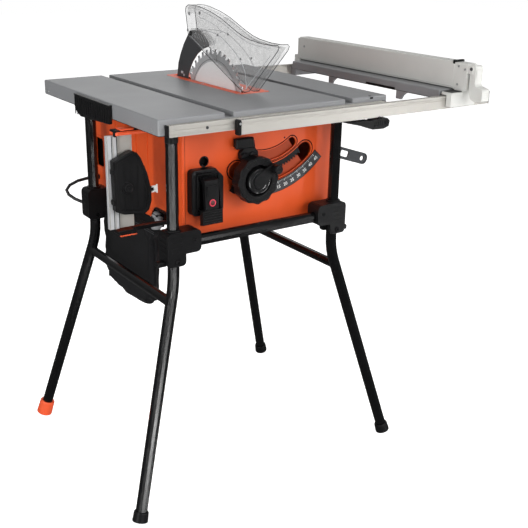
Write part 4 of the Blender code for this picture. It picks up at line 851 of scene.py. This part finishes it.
# ---------------------------------------------------------------- left side
def build_side_details():
    """Ribs on the handle, the stored gauge's grooves and pointer, clips, and the cord's strain relief."""
    bm = bmesh.new()
    for k in range(15):
        y = 201 + 11.2 * k
        bottom = -40.5 if y < 320 else -46.5
        add_box(bm, (-10.2, y, bottom), (-8.6, y + 3.6, -8), 0.7)
    piece("handle_ribs", bm, "black_plastic", CASE, 0.2)
    boxes("handle_top_edge", "black_plastic", CASE, ((-9.6, 193, -6.2), (-0.6, 367, -2.9), 0.8),
          edge=0.2)

    # painted shade: near-black strips stand for the shade in the gauge bar's grooves
    boxes("gauge_bar_grooves", "black_and_painted_shade", "miter_gauge", ((-34.6, 131.2, -243.6), (-33.4, 132.2, -51.4)),
          ((-23.6, 131.3, -243.6), (-22.4, 135.2, -51.4)))
    boxes("gauge_bar_edges", "rail_aluminium", "miter_gauge",
          ((-44.8, 131.3, -243.8), (-43.2, 132.5, -51.2), 0.3),
          ((-31.6, 131.4, -243.8), (-30.4, 132.3, -51.2), 0.3))
    bm = bmesh.new()
    for k in range(5):
        top, bottom = -104 - 1.5 * k, -203
        x = -34 + 15 * k
        if x > 20:
            top = -104 - (x - 20) * 1.7
        add_box(bm, (x, 112.0, bottom), (x + 2.2, 113.6, top), 0.8)
    piece("gauge_head_ribs", bm, "black_rubber", "miter_head")
    bm = bmesh.new()
    edge = [(2, -83), (11, -87), (18.6, -97), (32.5, -130.5), (40.2, -164), (40.8, -189), (34.6, -206),
            (25, -213), (-19, -208.4), (-36.6, -200.8), (-38.4, -100), (-11.5, -88)]
    inner = [(1.5, -89), (7.5, -91.5), (13.2, -99.6), (26.6, -132), (34.2, -165), (34.8, -187.6), (30, -201),
             (23.6, -206.6), (-17.6, -202.4), (-31, -196.6), (-32.6, -103.4), (-9, -93.4)]
    add_plate(bm, [edge, inner], "xz", 110.9, 113.6)
    piece("gauge_head_rim", bm, "black_rubber", "miter_head", 0.9)
    bm = bmesh.new()
    add_lathe(bm, [(10.4, -0.4), (10.0, 1.0), (8.4, 1.8), (7.6, 1.0), (3.2, 0.8), (2.8, 1.6), (0, 1.8)],
              (-12, 107.9, -155), FRONT, 24)
    piece("gauge_hub_cap", bm, "black_plastic", "miter_head")
    bm = bmesh.new()
    for z in (-121, -184):
        add_box(bm, (-41.6, 113.5, z - 6), (-37.4, 130.4, z + 6), 1.4)
    piece("gauge_head_lugs", bm, "black_plastic", "miter_head", 0.3)
    bm = bmesh.new()
    add_plate(bm, [[(44.5, -173.5), (55, -173.5), (55, -175.5), (58.5, -175.5), (58.5, -157.5), (55, -157.5),
                    (55, -159.5), (44.5, -159.5), (44.5, -163), (49.5, -163), (49.5, -170), (44.5, -170)]],
              "xz", 116.6, 118.3)
    piece("gauge_pointer", bm, "white_print", "miter_gauge", 0.3)

    repaint("gauge_holder", "black_plastic", lambda c, n: c.z < -200 and c.x < 98)
    boxes("gauge_clip_top", "black_plastic", CASE, ((-31.0, 121, -44.6), (28, 146, -39.4), 1.2),
          ((-31.2, 122, -52.5), (-27.6, 131, -41), 0.8), edge=0.3)
    boxes("gauge_clip_tabs", "orange_insert", CASE,
          ((-20, 119.6, -40.4), (10, 140, -36.6), 0.8), ((14, 126, -40.4), (34, 146, -37.4), 0.8), edge=0.3)
    boxes("gauge_clip_bottom", "black_plastic", CASE,
          ((-30.8, 117.2, -250.6), (8, 119.0, -245.4), 0.6), ((-2, 117.0, -255), (9, 121.0, -247.6), 0.8),
          edge=0.3)
    boxes("gauge_clip_lip", "orange_insert", CASE,
          ((-29, 117.4, -257.4), (9, 120.4, -254.8), 0.7), edge=0.2)

    bm = bmesh.new()
    add_rod(bm, (105.3, 508, -236), (80, 508.8, -236), 6.0, 20, 1.0, 4.6)
    for k in range(5):
        add_torus(bm, (100 - 4.4 * k, 508.2, -236), (1, 0, 0), 5.6 - 0.3 * k, 0.9, 24, 8)
    piece("cord_strain_relief", bm, "cord_rubber", CASE)
    rims = [rounded((469, -210), (518, -133), 8), rounded((473, -206), (514, -137), 6)]
    plates("side_window_rim", "orange_shell", CASE, "yz", (rims, 103.4, 105.2), edge=0.5)
    bm = bmesh.new()
    down = math.radians(-18)
    spots = []
    for outline in (rounded((1.5, -12), (98.5, 12), 11, 5), rounded((3.4, -10.1), (96.6, 10.1), 9, 5)):
        spots.append([(519 + u * math.cos(down) - v * math.sin(down),
                       -142 + u * math.sin(down) + v * math.cos(down)) for u, v in outline])
    add_plate(bm, spots, "xz", 103.4, 104.3)
    piece("wrench_rim", bm, "dark_steel", "blade_wrench", 0.2)


# ---------------------------------------------------------------- stand
def build_stand_details():
    """Collars, bolts and ribs on the corner brackets, sockets on the posts, and the hinges' pins."""
    collar = [(13.0, -1), (16.6, -0.6), (16.8, 2.2), (15.4, 3.6), (13.0, 3.8)]
    for side, x in POSTS_X:
        out = -1 if side == "left" else 1
        for end, y in POSTS_Y:
            name = f"{end}_{side}"
            turned(name + "_collar", "black_plastic", CASE, (collar, (x, y, -241), UP, 32), edge=0.3)
            bm = bmesh.new()
            for k in range(4):
                z = -284 + 10 * k
                face = y - 20.6 if end == "front" else y + 19.2
                add_box(bm, (x - 14, face, z), (x + 14, face + 1.4, z + 3.2), 0.6)
                near, far = sorted((x + out * 23.5, x + out * 23.5 + out * 1.2))
                add_box(bm, (near, y - 13, z), (far, y + 13, z + 3.2), 0.5)
            piece(name + "_bracket_ribs", bm, "black_plastic", CASE, 0.2)
            way = -1 if end == "front" else 1
            front = y + way * 20.4
            screws(name + "_bolts", "black_rubber", CASE,
                   ((0, way, 0), 6.0, 2.6, (x, front - way * 0.6, HINGE_Z)),
                   ((0, way, 0), 4.4, 2.0, (x - out * 40, front - way * 0.8, -262)))
    bm = bmesh.new()
    for _, x in POSTS_X:
        for _, y in POSTS_Y:
            add_rod(bm, (x, y, -36), (x, y, -60), 13.6, 28, 1.0)
    piece("upright_sockets", bm, "black_plastic", CASE)
    for side, x in POSTS_X:
        bm = bmesh.new()
        for _, y in POSTS_Y:
            add_rod(bm, (x, y - 13.4, HINGE_Z), (x, y + 13.4, HINGE_Z), 2.6, 16, 0.5)
        piece(side + "_leg_pins", bm, "zinc", side + "_legs")


# ---------------------------------------------------------------- dust hose
def build_hose():
    """The translucent elbow under the case's left wall, with its rings."""
    path = smooth_path([(119, 268, -269), (118, 234, -267), (116, 222, -279), (116, 244, -300),
                        (118, 280, -318), (118, 312, -322)], 6)
    bm = bmesh.new()
    add_tube(bm, path, 8.5, 16)
    for k in range(3, len(path) - 1, 2):
        along = (path[k + 1] - path[k - 1]).normalized()
        add_torus(bm, path[k], along, 8.7, 1.1, 24, 8)
    piece("dust_elbow", bm, "hose", CASE)


# ---------------------------------------------------------------- dust bag
def bag_profile():
    """The bag's side outline, as y and z, from its front top corner round to its rear top corner."""
    return [(216, -295), (491, -295), (493, -430), (489, -461), (461, -485), (430, -498.5), (372, -504.5),
            (310, -502.5), (269, -492.5), (248, -473), (239.5, -430), (237.5, -330)]


BAG_MIDDLE_X = 114.5
CLOTH_FRAMES = 18
CLOTH_CAP = 0.004  # how far the simulation may move a point, in metres


def build_bag():
    """A cloth bag that hangs from the chute: inflated a little, creased, hemmed and stitched."""
    low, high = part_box("dust_bag")
    profile = bag_profile()
    count = len(profile)
    middle = Vector((0, sum(y for y, _ in profile) / count, sum(z for _, z in profile) / count))
    bm = bmesh.new()
    rings = []
    for x, share in ((101.5, 0.955), (107.0, 0.985), (114.5, 0.99), (122.0, 0.985), (127.5, 0.955)):
        ring = [((y - middle.y) * share + middle.y, (z - middle.z) * share + middle.z) for y, z in profile]
        rings.append([bm.verts.new((x, y, min(z, -295.5))) for y, z in ring])
    for near, far in zip(rings, rings[1:]):
        for i in range(count):
            j = (i + 1) % count
            bm.faces.new((near[i], near[j], far[j], far[i]))
    bm.faces.new(list(reversed(rings[0])))
    bm.faces.new(rings[-1])
    bag = piece("dust_bag_cloth", bm, "bag_fabric", CASE, sharp=80)
    apply_modifier(bag, "REMESH", mode="VOXEL", voxel_size=0.0052)
    inflate(bag, low, high)
    crease(bag)
    bag.data.shade_smooth()
    apply_modifier(bag, "SUBSURF", levels=1, render_levels=1)
    keep_inside(bag, low, high)
    bag.data.materials.clear()
    bag.data.materials.append(LOOKS["bag_fabric"])
    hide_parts("dust_bag")
    trims = build_bag_trims()
    for obj in (bag, *trims):
        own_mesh(obj)


def apply_modifier(obj, kind, **settings):
    modifier = obj.modifiers.new("shape", kind)
    for key, value in settings.items():
        setattr(modifier, key, value)
    graph = bpy.context.evaluated_depsgraph_get()
    graph.update()
    made = bpy.data.meshes.new_from_object(obj.evaluated_get(graph))
    obj.modifiers.remove(modifier)
    obj.data = made


def inflate(obj, low, high):
    """A short cloth simulation: air pressure inside, the top hem pinned to the chute."""
    top = obj.vertex_groups.new(name="hem")
    for vertex in obj.data.vertices:
        hang = (high.z - (obj.matrix_world @ vertex.co).z) * 1000
        if hang < 7:
            top.add([vertex.index], 1.0, "REPLACE")
    cloth_sim = obj.modifiers.new("cloth", "CLOTH")
    settings = cloth_sim.settings
    settings.quality = 5
    settings.mass = 0.25
    settings.use_pressure = True
    settings.uniform_pressure_force = 3.2
    settings.tension_stiffness = 12
    settings.compression_stiffness = 6
    settings.shear_stiffness = 5
    settings.bending_stiffness = 0.35
    settings.shrink_min = -0.04
    settings.effector_weights.gravity = 0.0
    settings.vertex_group_mass = "hem"
    cloth_sim.collision_settings.use_collision = False
    cloth_sim.point_cache.frame_start = 1
    cloth_sim.point_cache.frame_end = 20
    before = [obj.matrix_world @ v.co for v in obj.data.vertices]
    for number in range(1, CLOTH_FRAMES + 1):
        scene.frame_set(number)
    graph = bpy.context.evaluated_depsgraph_get()
    made = bpy.data.meshes.new_from_object(obj.evaluated_get(graph))
    obj.modifiers.remove(cloth_sim)
    obj.vertex_groups.clear()
    scene.frame_set(1)
    back = obj.matrix_world.inverted()
    if len(made.vertices) == len(before):
        for vertex, start in zip(made.vertices, before):
            move = obj.matrix_world @ vertex.co - start
            if move.length > CLOTH_CAP:
                vertex.co = back @ (start + move.normalized() * CLOTH_CAP)
    obj.data = made


def crease(obj):
    """Shallow hanging folds, deeper toward the corners and the bottom."""
    back = obj.matrix_world.inverted()
    folds = ((0.45, 19, 5.1, 0.2), (0.55, 37, 9.3, 1.7), (0.3, 61, 15.0, 0.6))
    for vertex in obj.data.vertices:
        place = (obj.matrix_world @ vertex.co - TABLE_ORIGIN) * 1000
        side = -1 if place.x < BAG_MIDDLE_X else 1
        depth = min(1.0, max(0.0, (-296 - place.z) / 90))
        wave = 0.0
        for size, length, lean, shift in folds:
            along = (place.y + lean * (place.z + 400) / 12) / length
            wave += size * math.sin(along * math.tau / 2.2 + shift + side)
        wave += 0.8 * math.sin(place.z / 23 + place.y / 61 + side) * depth
        place.x -= side * (0.9 + wave) * (0.35 + 0.65 * depth)
        vertex.co = back @ (place / 1000 + TABLE_ORIGIN)


def keep_inside(obj, low, high):
    """Holds the cloth inside the space the bag's solid keeps for it."""
    back = obj.matrix_world.inverted()
    room = 0.0004
    for vertex in obj.data.vertices:
        place = obj.matrix_world @ vertex.co
        for k in range(3):
            place[k] = min(max(place[k], low[k] + room), high[k] - room)
        vertex.co = back @ place


def build_bag_trims():
    """A welt round the seam, stitches along the top hem, and ribs at the bottom."""
    trims = []
    bm = bmesh.new()
    ring = [(BAG_MIDDLE_X, y, z) for y, z in bag_profile()[1:] + [(240, -300)]]
    path = smooth_path(ring, 4)
    add_tube(bm, [Vector((p.x, (p.y - 364) * 0.99 + 364, (p.z + 400) * 0.985 - 400)) for p in path], 1.5, 8)
    trims.append(piece("bag_seam", bm, "bag_fabric", CASE))
    bm = bmesh.new()
    for z in (-299, -303.5):
        for y0 in range(220, 488, 6):
            for x in (100.9, 128.1):
                add_box(bm, (x - 0.25, y0, z - 0.3), (x + 0.25, y0 + 3.4, z + 0.3))
    trims.append(piece("bag_stitches", bm, "thread_grey_and_slot_shade", CASE))
    bm = bmesh.new()
    for y in range(262, 470, 7):
        add_box(bm, (100.6, y, -484), (128.4, y + 2.4, -470), 0.8)
    trims.append(piece("bag_lower_ribs", bm, "bag_fabric", CASE))
    return trims


# ---------------------------------------------------------------- stage
def light(name, place, energy, width, height, target=(0.05, 0.05, 0.6)):
    data = bpy.data.lights.new(name, "AREA")
    data.energy = energy
    data.shape = "RECTANGLE"
    data.size = width
    data.size_y = height
    obj = bpy.data.objects.new(name, data)
    obj.location = place
    obj.rotation_euler = (Vector(target) - Vector(place)).to_track_quat("-Z", "Y").to_euler()
    scene.collection.objects.link(obj)


def build_stage():
    bm = bmesh.new()
    bmesh.ops.create_grid(bm, x_segments=1, y_segments=1, size=12)
    mesh = bpy.data.meshes.new("floor")
    bm.to_mesh(mesh)
    bm.free()
    floor = bpy.data.objects.new("floor", mesh)
    floor.location = (0, 0, -0.0005)
    scene.collection.objects.link(floor)
    n = Nodes("floor_paper")
    cloud = n.noise(n.coordinates(), 3, 3)
    tone = n.mix(n.ramp(cloud, 0.3, 0.7), (0.70, 0.70, 0.70), (0.73, 0.73, 0.73))
    paper = n.add("BsdfPrincipled", {"Base Color": tone, "Roughness": 0.9}).outputs[0]
    glow = n.add("Emission", {"Color": (1, 1, 1, 1), "Strength": 0.86}).outputs[0]
    lit = n.add("AddShader", {0: paper, 1: glow}).outputs[0]
    seen = n.add("LightPath").outputs["Is Camera Ray"]
    floor.data.materials.append(n.finish(n.add("MixShader", {0: seen, 1: paper, 2: lit}).outputs[0]))
    floor.visible_glossy = False

    build_world()
    for k, (x, y, energy) in enumerate(((-2.1, -1.0, 36), (-0.5, -2.6, 32), (1.7, -2.0, 28))):
        light(f"strip_{k}", (x, y, 0.2), energy, 0.09, 3.4, target=(0.05, 0.05, 0.2))
    light("key", (0.7, -3.0, 1.7), 44, 1.5, 1.5, target=(0, 0, 0.7))
    light("left", (-2.6, -0.4, 1.5), 17, 1.0, 1.0, target=(0.1, 0, 0.8))
    light("top", (1.0, 0.5, 2.9), 15, 1.8, 1.8, target=(0.2, 0, 0))
    light("back", (0.9, 2.4, 2.0), 8, 1.4, 1.4)


def build_world():
    """White to the camera, and a soft studio dome to everything else."""
    world = bpy.data.worlds.new("studio")
    scene.world = world
    world.use_nodes = True
    tree = world.node_tree
    tree.nodes.clear()
    new = tree.nodes.new
    link = tree.links.new
    seen, dome = new("ShaderNodeBackground"), new("ShaderNodeBackground")
    seen.inputs["Color"].default_value = (1, 1, 1, 1)
    path, mix, out = new("ShaderNodeLightPath"), new("ShaderNodeMixShader"), new("ShaderNodeOutputWorld")
    place, split = new("ShaderNodeTexCoord"), new("ShaderNodeSeparateXYZ")
    height = new("ShaderNodeMapRange")
    link(place.outputs["Generated"], split.inputs[0])
    link(split.outputs["Z"], height.inputs["Value"])
    for name, value in (("From Min", -0.2), ("From Max", 0.9), ("To Min", 0.12), ("To Max", 0.50)):
        height.inputs[name].default_value = value
    link(height.outputs[0], dome.inputs["Strength"])
    link(path.outputs["Is Camera Ray"], mix.inputs[0])
    link(dome.outputs[0], mix.inputs[1])
    link(seen.outputs[0], mix.inputs[2])
    link(mix.outputs[0], out.inputs["Surface"])


IMAGE_PIXELS = 528
FOCAL_PIXELS = 872.1


def build_camera():
    """The camera found by fitting straight edges of the photographed saw."""
    data = bpy.data.cameras.new("camera")
    data.sensor_width = 36
    data.lens = FOCAL_PIXELS / IMAGE_PIXELS * 36
    data.shift_x = 20 / IMAGE_PIXELS
    data.clip_end = 50
    camera = bpy.data.objects.new("camera", data)
    yaw, pitch, roll = math.radians(33.92), math.radians(20.51), math.radians(0.76)
    look = Matrix.Rotation(-yaw, 4, "Z") @ Matrix.Rotation(math.pi / 2 - pitch, 4, "X")
    place = Matrix.Translation(at(-758.9, -1419.9, 317.6))
    camera.matrix_world = place @ look @ Matrix.Rotation(roll, 4, "Z")
    scene.collection.objects.link(camera)
    scene.camera = camera


build_table_details()
build_rulers()
build_case_details()
build_scale()
build_switch_details()
build_control_details()
build_guard_details()
build_blade_details()
build_fence_details()
build_extension_details()
build_side_details()
build_stand_details()
build_hose()
build_bag()
build_stage()
build_camera()
scene.view_settings.view_transform = "Standard"
